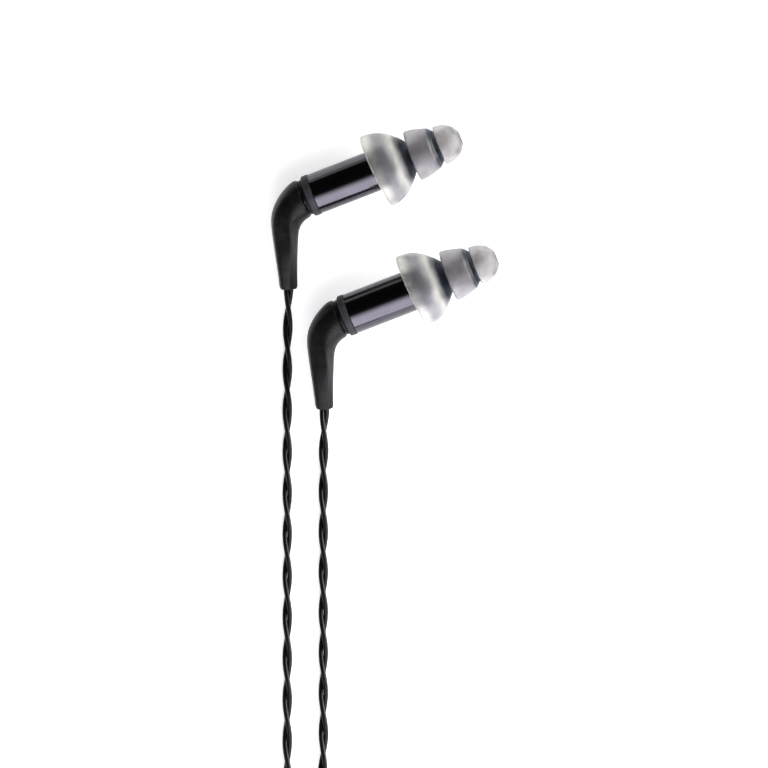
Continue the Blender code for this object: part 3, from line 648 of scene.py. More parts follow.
def turned(bm, profile, steps, closed=True):
    """Spin a (station, radius, rounding) profile in millimetres about local X."""
    rim = [bm.verts.new((station * MM, radius * MM, 0.0)) for station, radius, _ in profile]
    for first, second in zip(rim, rim[1:]):
        bm.edges.new((first, second))
    if closed:
        bm.edges.new((rim[-1], rim[0]))
    for rounding in sorted({corner[2] for corner in profile if corner[2]}):
        corners = [vert for vert, corner in zip(rim, profile) if corner[2] == rounding]
        rounded(bm, corners, rounding, 4, "VERTICES")
    bmesh.ops.spin(
        bm, geom=bm.verts[:] + bm.edges[:], cent=(0.0, 0.0, 0.0), axis=(1.0, 0.0, 0.0),
        angle=2 * math.pi, steps=steps, use_merge=True,
    )
    clean(bm)


def mark_along(piece, frame_matrix):
    """Store each point's station along the frame's +X, in millimetres."""
    inverse = frame_matrix.inverted()
    stations = [(inverse @ vert.co).x / MM for vert in piece.data.vertices]
    piece.data.attributes.new("along", "FLOAT", "POINT").data.foreach_set("value", stations)


def turned_piece(name, profile, finish, frame_matrix, steps, closed=True):
    bm = bmesh.new()
    turned(bm, profile, steps, closed)
    bmesh.ops.transform(bm, matrix=frame_matrix, verts=bm.verts[:])
    piece = finished(name, bm, finish)
    mark_along(piece, frame_matrix)
    return piece


def loft(bm, rings):
    """Skin a run of rings with the same number of points, by extruding one ring from the last."""
    count = len(rings[0])
    current = bmesh.ops.create_circle(bm, cap_ends=False, segments=count, radius=1.0)["verts"]
    for vert, place in zip(current, rings[0]):
        vert.co = place
    loops = [current]
    for ring in rings[1:]:
        following = extruded_ring(bm, loops[-1])
        for vert, place in zip(following, ring):
            vert.co = place
        loops.append(following)
    return loops


def ring_edges(bm, ring):
    return [bm.edges.get((a, b)) for a, b in zip(ring, ring[1:] + ring[:1])]


def extruded_ring(bm, ring):
    """Extrude a closed ring of edges and return the new points in the same order."""
    made = bmesh.ops.extrude_edge_only(bm, edges=ring_edges(bm, ring))["geom"]
    fresh = {element for element in made if isinstance(element, bmesh.types.BMVert)}
    return [
        next(edge.other_vert(vert) for edge in vert.link_edges if edge.other_vert(vert) in fresh)
        for vert in ring
    ]


def shrunk_ring(bm, ring, share, push=Vector()):
    """Extrude a ring inwards towards its own middle."""
    middle = sum((vert.co for vert in ring), Vector()) / len(ring)
    following = extruded_ring(bm, ring)
    for vert in following:
        vert.co = middle + (vert.co - middle) * share + push
    return following


def capped(bm, ring):
    bmesh.ops.contextual_create(bm, geom=ring_edges(bm, ring))


def catmull_rom(before, start, end, after, t):
    return 0.5 * (
        2 * start
        + (end - before) * t
        + (2 * before - 5 * start + 4 * end - after) * t * t
        + (3 * start - before - 3 * end + after) * t * t * t
    )


def smooth_route(points, spacing):
    """Points every `spacing` along a smooth curve through millimetre points, in metres."""
    route = [Vector(p) * MM for p in points]
    padded = [route[0] * 2 - route[1], *route, route[-1] * 2 - route[-2]]
    fine = []
    for before, start, end, after in zip(padded, padded[1:], padded[2:], padded[3:]):
        for step in range(CURVE_STEPS):
            fine.append(catmull_rom(before, start, end, after, step / CURVE_STEPS))
    fine.append(route[-1])
    return resampled(fine, spacing)


def resampled(fine, spacing):
    lengths = [0.0]
    for first, second in zip(fine, fine[1:]):
        lengths.append(lengths[-1] + (second - first).length)
    count = max(2, round(lengths[-1] / spacing))
    points = []
    index = 0
    for step in range(count + 1):
        target = lengths[-1] * step / count
        while index < len(fine) - 2 and lengths[index + 1] < target:
            index += 1
        share = (target - lengths[index]) / (lengths[index + 1] - lengths[index])
        points.append(fine[index].lerp(fine[index + 1], share))
    return points


def eased(share):
    return share * share * (3 - 2 * share)


def blended(low, high, share):
    return low + (high - low) * share


# ---------------------------------------------------------------- cables

def tie_rise(y):
    """How far a cable lifts to pass over the strap beneath the hank."""
    away = abs(y - TIE_Y) / TIE_RISE_REACH
    return TIE_RISE * math.cos(away * math.pi / 2) ** 2 if away < 1 else 0.0


def hank_leg(leg, lanes, heights, start=0.0, end=1.0):
    """Points of one run or bend of the hank, from the first to the second lane and height."""
    points = []
    count = 8 if leg in ("left", "right") else 12
    for step in range(count):
        share = blended(start, end, step / count)
        lane = blended(*lanes, eased(share))
        height = blended(*heights, eased(share))
        if leg == "left":
            x, y = HANK_X - lane, blended(HANK_TOP, HANK_BOTTOM, share)
        elif leg == "right":
            x, y = HANK_X + lane, blended(HANK_BOTTOM, HANK_TOP, share)
        elif leg == "bottom":
            angle = math.pi * (1 + share)
            x, y = HANK_X + lane * math.cos(angle), HANK_BOTTOM + lane * math.sin(angle)
        else:
            angle = math.pi * share
            x, y = HANK_X + lane * math.cos(angle), HANK_TOP + lane * math.sin(angle)
        points.append((x, y, height + tie_rise(y)))
    return points


def pair_route(route, first_lane, second_lane):
    """From inside the boot, down the table, and one and a half times round to the splitter."""
    start_x, start_y, start_z = route[0]
    points = [(start_x + 0.02, start_y + 1.0, start_z + 0.12), *route]
    flat = (PAIR_LAYER, PAIR_LAYER)
    for leg in ("left", "bottom", "right"):
        points += hank_leg(leg, (first_lane, first_lane), flat)
    points += hank_leg("top", (first_lane, second_lane), flat)
    points += hank_leg("left", (second_lane, second_lane), flat)
    points += hank_leg("bottom", (second_lane, second_lane), (PAIR_LAYER, PAIR_END_HEIGHT))
    x = HANK_X + second_lane
    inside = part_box("splitter")[0].y / MM + SPLITTER_OVERLAP
    return points + [(x, HANK_BOTTOM, PAIR_END_HEIGHT), (x, inside, PAIR_END_HEIGHT)]


def main_route():
    """Out of the splitter, round the inner lanes layer by layer, and off the top to the plug."""
    inner, outer = MAIN_LANES
    one, two, three, four = MAIN_LAYERS
    low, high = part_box("splitter")
    lane = (low.x + high.x) / 2 / MM - HANK_X
    top = high.y / MM
    points = [(HANK_X + lane, top - 1.2, one + 0.50), (HANK_X + lane, top - 0.2, one + 0.50)]
    begin = (top + 3.0 - HANK_BOTTOM) / (HANK_TOP - HANK_BOTTOM)
    points += hank_leg("right", (lane, lane), (one, one), begin, 1.0)[1:]
    # The lane and layer that the winding moves to, by the number of the leg that takes it there.
    moves = {
        0: (outer, one), 4: (inner, one), 7: (inner, two), 10: (outer, two),
        13: (outer, three), 16: (inner, three), 19: (inner, four), 22: (outer, four),
    }
    height = one
    for number in range(MAIN_LEGS):
        next_lane, next_height = moves.get(number, (lane, height))
        leg = HANK_LEGS[number % len(HANK_LEGS)]
        points += hank_leg(leg, (lane, next_lane), (height, next_height))
        lane, height = next_lane, next_height
    points += [
        (HANK_X - outer, HANK_BOTTOM, four), (-6.95, -172.6, four), (-5.75, -178.0, four - 0.05),
        *MAIN_ROUTE,
    ]
    x, y, z = MAIN_ROUTE[-1]
    return points + [(x, y + 2.4, z)]


def tube_curve(name, lines, radius, resolution):
    data = bpy.data.curves.new(name, "CURVE")
    data.dimensions = "3D"
    data.bevel_depth = radius
    data.bevel_resolution = resolution
    data.use_fill_caps = True
    for line in lines:
        spline = data.splines.new("POLY")
        spline.points.add(len(line) - 1)
        for point, place in zip(spline.points, line):
            point.co = (*place, 1.0)
        spline.use_smooth = True
    piece = bpy.data.objects.new(name, data)
    bpy.context.scene.collection.objects.link(piece)
    return piece


def baked_mesh(piece, finish):
    """Turn a curve into a mesh object of the same name."""
    bpy.context.view_layer.update()
    depsgraph = bpy.context.evaluated_depsgraph_get()
    mesh = bpy.data.meshes.new_from_object(piece.evaluated_get(depsgraph))
    name = piece.name
    bpy.data.objects.remove(piece, do_unlink=True)
    bm = bmesh.new()
    bm.from_mesh(mesh)
    clean(bm)
    bpy.data.meshes.remove(mesh)
    return finished(name, bm, finish)


def twisted_lines(path, pitch, crossing_y, radius):
    """Two strands' lines wound about a path, one lying over the other at `crossing_y`."""
    travelled = [0.0]
    for first, second in zip(path, path[1:]):
        travelled.append(travelled[-1] + (second - first).length)
    crossing = next(way for way, place in zip(travelled, path) if place.y <= crossing_y)
    lines = ([], [])
    for index, place in enumerate(path):
        forward = (path[min(index + 1, len(path) - 1)] - path[max(index - 1, 0)]).normalized()
        across = Vector((0.0, 0.0, 1.0)).cross(forward).normalized()
        upward = forward.cross(across)
        angle = math.pi / 2 - 2 * math.pi * (travelled[index] - crossing) / pitch
        offset = (across * math.cos(angle) + upward * math.sin(angle)) * radius
        lines[0].append(place + offset)
        lines[1].append(place - offset)
    return lines


def path_length(path):
    return sum((second - first).length for first, second in zip(path, path[1:]))


class EARPHONES_OT_cables(bpy.types.Operator):
    """Twist the two earpiece leads, wind the hank and lay the main cable out to the plug"""

    bl_idname = "earphones.cables"
    bl_label = "Cables"

    def execute(self, context):
        cables = context.scene.earphone_cables
        strand = cables.strand_diameter
        pairs = (
            ("left", LEFT_ROUTE, LEFT_LANES, cables.left_twist, cables.left_first_crossing),
            ("right", RIGHT_ROUTE, RIGHT_LANES, cables.right_twist, cables.right_first_crossing),
        )
        for side, route, lanes, pitch, crossing in pairs:
            path = smooth_route(pair_route(route, *lanes), pitch / POINTS_PER_TWIST)
            lines = twisted_lines(path, pitch, crossing, strand / 2)
            piece = baked_mesh(tube_curve(side + "_twisted_pair", lines, strand / 2, 3), "jacket")
            fitted(piece, "cable_set", (side + "_cord", "hank"))
        path = smooth_route(main_route(), MAIN_SPACING * MM)
        main = baked_mesh(tube_curve("main_cable", [path], cables.main_diameter / 2, 5), "jacket")
        fitted(main, "cable_set", ("main_cord", "hank"))
        return {"FINISHED"}


class EARPHONES_OT_splitter(bpy.types.Operator):
    """Mould the flat splitter where the two leads join the main cable"""

    bl_idname = "earphones.splitter"
    bl_label = "Splitter"

    def execute(self, context):
        low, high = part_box("splitter")
        size = high - low
        middle = (low + high) / 2
        bm = bmesh.new()
        bmesh.ops.create_cube(bm, size=1.0)
        bmesh.ops.scale(bm, vec=size, verts=bm.verts[:])
        upright = [e for e in bm.edges if abs((e.verts[0].co - e.verts[1].co).z) > size.z / 2]
        rounded(bm, upright, SPLITTER_CORNER, 6)
        rims = [e for e in bm.edges if abs(abs(e.verts[0].co.z) - abs(e.verts[1].co.z)) < MERGE
                and len({round(f.normal.z) for f in e.link_faces}) == 2]
        rounded(bm, rims, SPLITTER_RIM, 5)
        for station in SPLITTER_GROOVES:
            for edge in (-SPLITTER_GROOVE_HALF, SPLITTER_GROOVE_HALF, 0.0):
                cut_across(bm, station + edge)
            groove = [v for v in bm.verts if abs(v.co.y - station * MM) < 0.02 * MM]
            bmesh.ops.scale(bm, vec=(0.93, 1.0, 0.90), verts=groove)
        clean(bm)
        bmesh.ops.translate(bm, vec=middle, verts=bm.verts[:])
        piece = finished("splitter_body", bm, "boot", 30.0)
        fitted(piece, "cable_set", ("splitter",))
        return {"FINISHED"}


class EARPHONES_OT_slider(bpy.types.Operator):
    """Mould the cinch slider that the two leads run through"""

    bl_idname = "earphones.slider"
    bl_label = "Slider"

    def execute(self, context):
        low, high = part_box("slider")
        size = high - low
        middle = (low + high) / 2
        bm = bmesh.new()
        corners = ((-1, -1), (1, -1), (1, 1), (-1, 1))
        outline = [bm.verts.new((x * size.x / 2, 0.0, z * size.z / 2)) for x, z in corners]
        for first, second in zip(outline, outline[1:] + outline[:1]):
            bm.edges.new((first, second))
        rounded(bm, outline, SLIDER_CORNER, 8, "VERTICES")
        lying = Matrix.Rotation(math.pi / 2, 4, "X")
        hole_height = SLIDER_HOLE_HEIGHT * MM - size.z / 2
        for sign in (-1, 1):
            place = Matrix.Translation((sign * SLIDER_HOLE_OFFSET * MM, 0.0, hole_height)) @ lying
            bmesh.ops.create_circle(
                bm, cap_ends=False, segments=32, radius=SLIDER_HOLE_RADIUS * MM, matrix=place
            )
        bmesh.ops.triangle_fill(bm, use_beauty=True, use_dissolve=False, edges=bm.edges[:])
        bmesh.ops.translate(bm, vec=(0.0, -size.y / 2, 0.0), verts=bm.verts[:])
        made = bmesh.ops.extrude_face_region(bm, geom=bm.faces[:])["geom"]
        far = [element for element in made if isinstance(element, bmesh.types.BMVert)]
        bmesh.ops.translate(bm, vec=(0.0, size.y, 0.0), verts=far)
        clean(bm)
        rims = [e for e in bm.edges if len(e.link_faces) == 2 and e.calc_face_angle(0.0) > 1.2]
        rounded(bm, rims, SLIDER_RIM, 3)
        for station in SLIDER_GROOVES:
            for edge in (-SLIDER_GROOVE_HALF, 0.0, SLIDER_GROOVE_HALF):
                cut_across(bm, station + edge)
            groove = [v for v in bm.verts if abs(v.co.y - station * MM) < 0.02 * MM
                      and (abs(v.co.x) > 2.7 * MM or v.co.z > 0.85 * MM)]
            bmesh.ops.scale(bm, vec=(0.95, 1.0, 0.91), verts=groove)
        bmesh.ops.translate(bm, vec=middle, verts=bm.verts[:])
        piece = finished("slider_body", bm, "boot", 30.0)
        fitted(piece, "slider", ("slider",))
        return {"FINISHED"}


def rounded_line(corners, steps):
    """A closed run of points along (across, height, rounding) corners in metres, swept round."""
    points = []
    for index, (across, height, rounding) in enumerate(corners):
        corner = Vector((across, 0.0, height))
        before = corners[index - 1]
        after = corners[(index + 1) % len(corners)]
        start = corner + (Vector((before[0], 0.0, before[1])) - corner).normalized() * rounding
        end = corner + (Vector((after[0], 0.0, after[1])) - corner).normalized() * rounding
        for step in range(steps + 1):
            share = step / steps
            points.append(start.lerp(corner, share).lerp(corner.lerp(end, share), share))
    return points


def strap_rings(line, width, thickness, closed=True):
    """A ring of eight points, with softened corners, at each place along a strap's middle line."""
    soft = TIE_SOFTNESS * MM
    rings = []
    last = len(line) - 1
    for index, place in enumerate(line):
        before = line[index - 1] if closed or index else line[0]
        after = line[(index + 1) % len(line)] if closed or index < last else line[last]
        way = (after - before).normalized()
        out = Vector((-way.z, 0.0, way.x))
        half, deep = width / 2, thickness / 2
        outline = (
            (-half, soft - deep), (soft - half, -deep), (half - soft, -deep), (half, soft - deep),
            (half, deep - soft), (half - soft, deep), (soft - half, deep), (-half, deep - soft),
        )
        rings.append([place + Vector((0.0, y, 0.0)) + out * rise for y, rise in outline])
    return rings


class EARPHONES_OT_tie(bpy.types.Operator):
    """Wrap the woven strap round the waist of the hank"""

    bl_idname = "earphones.tie"
    bl_label = "Tie strap"

    def execute(self, context):
        low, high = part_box("cord_tie")
        thickness = TIE_THICKNESS * MM
        width = TIE_WIDTH * MM
        half = (high.x - low.x) / 2 - thickness / 2
        base = thickness / 2 + 0.01 * MM
        top = high.z - thickness / 2
        knee = TIE_KNEE * MM
        shoulder = TIE_SHOULDER * MM
        line = rounded_line((
            (half, base, 0.9 * MM), (half, knee, 1.6 * MM), (shoulder, top, 2.4 * MM),
            (-shoulder, top, 2.4 * MM), (-half, knee, 1.6 * MM), (-half, base, 0.9 * MM),
        ), 8)
        bm = bmesh.new()
        rings = strap_rings(line, width, thickness)
        loft(bm, rings + rings[:1])
        over = top + thickness
        tail = [Vector((x * MM, 0.0, over)) for x in TIE_TAIL]
        loops = loft(bm, strap_rings(tail, width, thickness * 0.96, closed=False))
        capped(bm, loops[0])
        capped(bm, loops[-1])
        clean(bm)
        centre = Vector(((low.x + high.x) / 2, (low.y + high.y) / 2, 0.0))
        bmesh.ops.translate(bm, vec=centre, verts=bm.verts[:])
        piece = finished("tie_strap", bm, "strap", 40.0)
        fitted(piece, "cable_set", ("cord_tie",))
        return {"FINISHED"}


class EARPHONES_OT_plug(bpy.types.Operator):
    """Turn the plug's grip, contacts and washers and mould its strain relief"""

    bl_idname = "earphones.plug"
    bl_label = "Plug"

    def execute(self, context):
        steps = context.scene.earphone_pieces.facets
        place = plug_frame()
        grip = [
            (-0.80, 0.0, 0.0), (-0.80, 1.95, 0.10), (0.0, 1.95, 0.08), (0.0, GRIP_RADIUS, 0.40),
        ]
        for station in GRIP_GROOVES:
            grip += [
                (station + 0.22, GRIP_RADIUS, 0.06), (station + 0.14, 3.08, 0.05),
                (station - 0.14, 3.08, 0.05), (station - 0.22, GRIP_RADIUS, 0.06),
            ]
        grip += [
            (-13.8, GRIP_RADIUS, 0.80), (-15.5, 2.55, 0.30), (-16.0, 2.15, 0.15), (-16.0, 0.0, 0.0),
        ]
        relief = [(-16.15, 0.0, 0.0), (-16.15, 1.95, 0.10)]
        for rank in range(RELIEF_RIBS):
            station = RELIEF_FIRST_RIB - RELIEF_PITCH * rank
            radius = 1.90 - 0.115 * rank
            relief += [
                (station + 0.28, radius, 0.06), (station + 0.20, radius - 0.24, 0.05),
                (station - 0.20, radius - 0.26, 0.05), (station - 0.28, radius - 0.04, 0.06),
            ]
        relief += [(-23.65, 1.25, 0.12), (-23.65, 0.0, 0.0)]
        sleeve = [(-0.68, 0.63, 0.0), (7.60, 0.63, 0.0), (7.60, 1.75, 0.06), (-0.68, 1.75, 0.0)]
        ring = [(8.20, 0.63, 0.0), (10.40, 0.63, 0.0), (10.40, 1.75, 0.06), (8.20, 1.75, 0.06)]
        rear_washer, front_washer = (
            [(rear, 0.63, 0.0), (front, 0.63, 0.0), (front, 1.72, 0.0), (rear, 1.72, 0.0)]
            for rear, front in ((7.66, 8.14), (10.46, 10.94))
        )
        tip = [
            (14.0, 0.0, 0.0), (13.95, 0.50, 0.25), (13.15, 1.35, 0.20), (12.75, 1.75, 0.12),
            (12.0, 1.20, 0.30), (11.0, 1.62, 0.05), (11.0, 0.55, 0.0), (-0.68, 0.55, 0.0),
            (-0.68, 0.0, 0.0),
        ]
        pieces = (
            ("plug_grip_body", grip, "collar", "plug_grip", "cap_black", False),
            ("plug_strain_relief", relief, "boot", "plug_relief", "boot_black", False),
            ("plug_sleeve_contact", sleeve, "gilt", "plug_sleeve", "gold", True),
            ("plug_rear_washer", rear_washer, "insulator", "plug_washer_rear", "insulator_white",
             True),
            ("plug_ring_contact", ring, "gilt", "plug_ring", "gold", True),
            ("plug_front_washer", front_washer, "insulator", "plug_washer_front",
             "insulator_white", True),
            ("plug_tip_contact", tip, "gilt", "plug_tip", "gold", False),
        )
        for name, profile, finish, node, slot, closed in pieces:
            piece = turned_piece(name, profile, finish, place, steps // 2, closed)
            fitted(piece, "cable_set", (node,))
        return {"FINISHED"}


# ---------------------------------------------------------------- earpieces

def smooth_outline(points, count):
    """Profile points, with no rounding, spread evenly along a smooth (station, radius) line."""
    corners = [(station, radius, 0.0) for station, radius in points]
    length = path_length(smooth_route(corners, 0.05 * MM))
    return [(place.x / MM, place.y / MM, 0.0) for place in smooth_route(corners, length / count)]


def flange_profile(outline, root, wall):
    """Down the outside of one flange, round its rim and up the hollow underneath to its root."""
    rim, radius = outline[-1]
    outside = smooth_outline(outline, 18)
    turn = ((0.22, 0.08), (0.34, 0.34), (0.28, 0.70), (0.06, 0.94))
    edge = [(rim - wall * back, radius - wall * inwards, 0.0) for back, inwards in turn]
    inside = radius - wall
    hollow = []
    for step in range(13):
        angle = math.pi / 2 * step / 12
        hollow.append((
            rim + 0.05 + (root - rim) * math.sin(angle) ** 0.9,
            TIP_CORE + (inside - TIP_CORE) * math.cos(angle) ** 0.8, 0.0,
        ))
    return outside + edge + hollow


def lean_skirt(bm):
    """Let the big rear flange sag a little towards the lower side, as a soft skirt does."""
    for vert in bm.verts:
        share = (LEAN_FROM - vert.co.x / MM) / LEAN_LENGTH
        if share <= 0 or vert.co.yz.length < (TIP_CORE + 0.02) * MM:
            continue
        vert.co.x -= LEAN_TURN * vert.co.y * share
        vert.co.y -= LEAN_DROP * MM * share


class EARPHONES_OT_ear_tips(bpy.types.Operator):
    """Mould the triple-flange silicone tips"""

    bl_idname = "earphones.ear_tips"
    bl_label = "Ear tips"

    def execute(self, context):
        steps = context.scene.earphone_pieces.facets
        profile = []
        for outline, root, share in zip(
            (TIP_FRONT_FLANGE, TIP_MIDDLE_FLANGE, TIP_REAR_FLANGE), SKIRT_ROOTS, (0.85, 0.9, 1.0)
        ):
            profile += flange_profile(outline, root, SKIRT * share)
        profile += [
            (TIP_REAR, TIP_CORE, 0.08), (TIP_REAR, TIP_BORE, 0.05), (TIP_STEP, TIP_BORE, 0.0),
            (TIP_STEP, TIP_SOUND_HOLE, 0.0), (20.45, TIP_SOUND_HOLE, 0.0),
        ]
        for side in SIDES:
            place = axis_frame(side)
            bm = bmesh.new()
            turned(bm, profile, steps)
            stations = bm.verts.layers.float.new("along")
            for vert in bm.verts:
                vert[stations] = vert.co.x / MM
            lean_skirt(bm)
            bmesh.ops.transform(bm, matrix=place, verts=bm.verts[:])
            piece = finished(side + "_silicone_tip", bm, "silicone", 60.0)
            fitted(piece, side + "_tip", (side + "_ear_tip",))
        return {"FINISHED"}


class EARPHONES_OT_turned_parts(bpy.types.Operator):
    """Turn the barrels, collars, nozzles and the two halves of the snap connectors"""

    bl_idname = "earphones.turned_parts"
    bl_label = "Barrels and collars"

    def execute(self, context):
        pieces = context.scene.earphone_pieces
        barrel_radius = pieces.barrel_radius / MM
        cap_radius = pieces.cap_radius / MM
        nozzle_radius = pieces.nozzle_radius / MM
        barrel = [
            (BARREL_FRONT, 1.74, 0.06), (BARREL_FRONT, barrel_radius, 0.55),
            (BARREL_REAR, barrel_radius, 0.07), (BARREL_REAR, 2.93, 0.04),
            (7.30, 2.93, 0.10), (7.30, 1.74, 0.04),
        ]
        collar = [
            (-3.30, 2.02, 0.05), (-3.30, 2.86, 0.12), (CAP_FRONT, 2.86, 0.0),
            (CAP_FRONT, cap_radius, 0.12), (CAP_REAR, cap_radius, 0.34), (CAP_REAR, 2.02, 0.08),
        ]
        jack = [
            (-3.00, 1.55, 0.0), (-3.00, 1.95, 0.05), (-6.13, 1.95, 0.0), (-6.13, 2.95, 0.05),
            (-6.52, 2.95, 0.05), (-6.52, 1.55, 0.08),
        ]
        nozzle = [
            (NOZZLE_END, 1.20, 0.05), (NOZZLE_END, nozzle_radius, 0.18), (7.20, nozzle_radius, 0.0),
            (7.20, 2.75, 0.05), (NOZZLE_FLANGE, 2.75, 0.05), (NOZZLE_FLANGE, 1.20, 0.0),
        ]
        shell = [
            (PLUG_SHELL_FRONT, 1.00, 0.04), (PLUG_SHELL_FRONT, 1.36, 0.14),
            (SNAP_GROOVE + 0.17, 1.36, 0.03), (SNAP_GROOVE + 0.17, 1.17, 0.02),
            (SNAP_GROOVE - 0.17, 1.17, 0.02), (SNAP_GROOVE - 0.17, 1.36, 0.03),
            (PLUG_SHELL_REAR, 1.36, 0.05), (PLUG_SHELL_REAR, 1.00, 0.0),
        ]
        damper = [(16.60, 0.45, 0.05), (16.60, 1.13, 0.06), (14.90, 1.13, 0.0), (14.90, 0.45, 0.0)]
        table = (
            ("barrel_tube", barrel, "barrel", "barrel", "anodised_black", "_earpiece"),
            ("collar", collar, "collar", "rear_cap", "cap_black", "_earpiece"),
            # The jack body is black plastic, given the darker nozzle black rather than the
            # collar's: painted shade darkening the groove between boot mouth and collar.
            ("jack_body", jack, "nozzle", "jack_shell", "cap_black", "_earpiece"),
            ("sound_nozzle", nozzle, "nozzle", "nozzle", "nozzle_black", "_earpiece"),
            ("damper", damper, "mesh", "filter", "filter_mesh", "_earpiece"),
            ("connector_shell", shell, "gilt", "plug_shell", "gold", None),
        )
        for side in SIDES:
            place = axis_frame(side)
            for name, profile, finish, node, slot, body in table:
                piece = turned_piece(side + "_" + name, profile, finish, place, pieces.facets)
                fitted(piece, side + body if body else "cable_set", (side + "_" + node,))
        return {"FINISHED"}


def boot_section(index, forward):
    """A ring of the boot: round at the mouth, then a flat face between two creases and a facet."""
    outer = Vector((*BOOT_OUTER[index], BOOT_HEIGHT[index])) * MM
    inner = Vector((*BOOT_INNER[index], BOOT_HEIGHT[index])) * MM
    centre = (outer + inner) / 2
    across = (inner - outer) / 2
    up = (Vector((0.0, 0.0, 1.0)) - forward * forward.z).normalized() * BOOT_THICKNESS[index] * MM
    near = BOOT_CREASE_OUTER[index]
    far = BOOT_CREASE_INNER[index]
    half = [
        (-1.0, 0.0), (-0.99, 0.26), (-0.955, 0.54), (near - 0.05, 0.86), (near + 0.02, 0.935),
        (blended(near, far, 0.35), 0.985), (blended(near, far, 0.68), 1.0), (far - 0.03, 0.985),
        (far + 0.03, 0.925), (blended(far, 1.0, 0.45), 0.59), (blended(far, 1.0, 0.86), 0.24),
        (1.0, 0.0),
    ]
    last = len(half) - 1
    rounding = 1.0 - BOOT_FACETED[index]
    upper = []
    for step, (wide, high) in enumerate(half):
        angle = math.pi * (1 - step / last)
        upper.append((
            blended(wide, math.cos(angle), rounding), blended(high, math.sin(angle), rounding),
        ))
    lower = [(wide, -high) for wide, high in reversed(upper[1:-1])]
    return [centre + across * wide + up * high for wide, high in upper + lower]


class EARPHONES_OT_boots(bpy.types.Operator):
    """Loft the elbow boots from the round mouth to the faceted stem"""

    bl_idname = "earphones.boots"
    bl_label = "Boots"

    def execute(self, context):
        for side in SIDES:
            self.loft_boot(side)
        return {"FINISHED"}

    def loft_boot(self, side):
        place = axis_frame(side)
        origin = place.to_translation()
        stations = len(BOOT_OUTER)
        middles = [
            Vector(((o[0] + i[0]) / 2, (o[1] + i[1]) / 2, z))
            for o, i, z in zip(BOOT_OUTER, BOOT_INNER, BOOT_HEIGHT)
        ]
        rings = []
        for index in range(stations):
            forward = middles[min(index + 1, stations - 1)] - middles[max(index - 1, 0)]
            ring = boot_section(index, forward.normalized())
            rings.append([origin + point for point in ring])
        count = len(rings[0])
        angles = [math.pi - 2 * math.pi * step / count for step in range(count)]
        outward, level, upward = place.to_3x3().transposed()

        def disc(station, radius):
            """A ring round the earpiece's axis, with its points in step with the boot's rings."""
            return [
                origin + (
                    outward * station - level * (math.cos(angle) * radius)
                    + upward * (math.sin(angle) * radius)
                ) * MM
                for angle in angles
            ]

        socket = [disc(SOCKET_END, 1.55), disc(MOUTH - 0.10, 1.55), disc(MOUTH, 1.65)]
        face = [disc(MOUTH, 2.80), disc(MOUTH - 0.02, 2.93)]
        bm = bmesh.new()
        loops = loft(bm, socket + face + rings)
        capped(bm, loops[0])
        end = shrunk_ring(bm, loops[-1], 0.88, Vector((0.0, -0.05 * MM, 0.0)))
        end = shrunk_ring(bm, end, 0.55)
        capped(bm, end)
        bmesh.ops.recalc_face_normals(bm, faces=bm.faces[:])
        piece = finished(side + "_elbow_boot", bm, "boot", 60.0)
        smooth = piece.modifiers.new("smooth", "SUBSURF")
        smooth.levels = 2
        smooth.render_levels = 2
        fitted(piece, "cable_set", (side + "_boot",))


class EARPHONES_OT_inner_parts(bpy.types.Operator):
    """Give the receivers, wires, insulators and contacts their finishes"""

    bl_idname = "earphones.inner_parts"
    bl_label = "Inner parts"

    def execute(self, context):
        finishes = {
            "sound_tube": "gasket", "driver": "steel", "driver_mount": "gasket",
            "wire_positive": "copper", "wire_negative": "copper", "jack_insulator": "insulator",
            "jack_contact": "gilt", "snap_ring": "bronze", "plug_insulator": "insulator",
            "plug_pin": "gilt",
        }
        for side in SIDES:
            for node, finish in finishes.items():
                for material_slot in frame["nodes"][side + "_" + node].material_slots:
                    material_slot.material = FINISHES[finish]
        return {"FINISHED"}


# ---------------------------------------------------------------- stage

def softbox(name, aim, direction, size, strength, colour, fade):
    """A glowing panel that faces the set, unseen by the camera, fading towards its upper edge."""
    turn = direction.to_track_quat("Z", "Y").to_matrix().to_4x4()
    bm = bmesh.new()
    bmesh.ops.create_grid(bm, x_segments=1, y_segments=1, size=0.5, calc_uvs=True)
    uvs = bm.loops.layers.uv.verify()
    for face in bm.faces:
        for loop in face.loops:
            loop[uvs].uv = (loop.vert.co.x + 0.5, loop.vert.co.y + 0.5)
    bmesh.ops.scale(bm, vec=(*size, 1.0), verts=bm.verts[:])
    place = Matrix.Translation(aim + direction.normalized() * PANEL_DISTANCE) @ turn
    bmesh.ops.transform(bm, matrix=place, verts=bm.verts[:])
    glow = bpy.data.materials.new(name)
    glow.use_nodes = True
    tree = glow.node_tree
    tree.nodes.remove(tree.nodes["Principled BSDF"])
    emission = tree.nodes.new("ShaderNodeEmission")
    emission.inputs["Color"].default_value = (*colour, 1.0)
    emission.inputs["Strength"].default_value = strength
    tree.links.new(emission.outputs["Emission"], tree.nodes["Material Output"].inputs["Surface"])
    if fade:
        uv = tree.nodes.new("ShaderNodeUVMap")
        parts = tree.nodes.new("ShaderNodeSeparateXYZ")
        falling = tree.nodes.new("ShaderNodeMapRange")
        falling.interpolation_type = "SMOOTHSTEP"
        falling.inputs["From Min"].default_value = 1.0
        falling.inputs["From Max"].default_value = 1.0 - fade
        falling.inputs["To Max"].default_value = strength
        tree.links.new(uv.outputs["UV"], parts.inputs["Vector"])
        tree.links.new(parts.outputs["Y"], falling.inputs["Value"])
        tree.links.new(falling.outputs["Result"], emission.inputs["Strength"])
    panel = placed(name, bm, glow)
    panel.visible_camera = False
    panel.visible_shadow = False


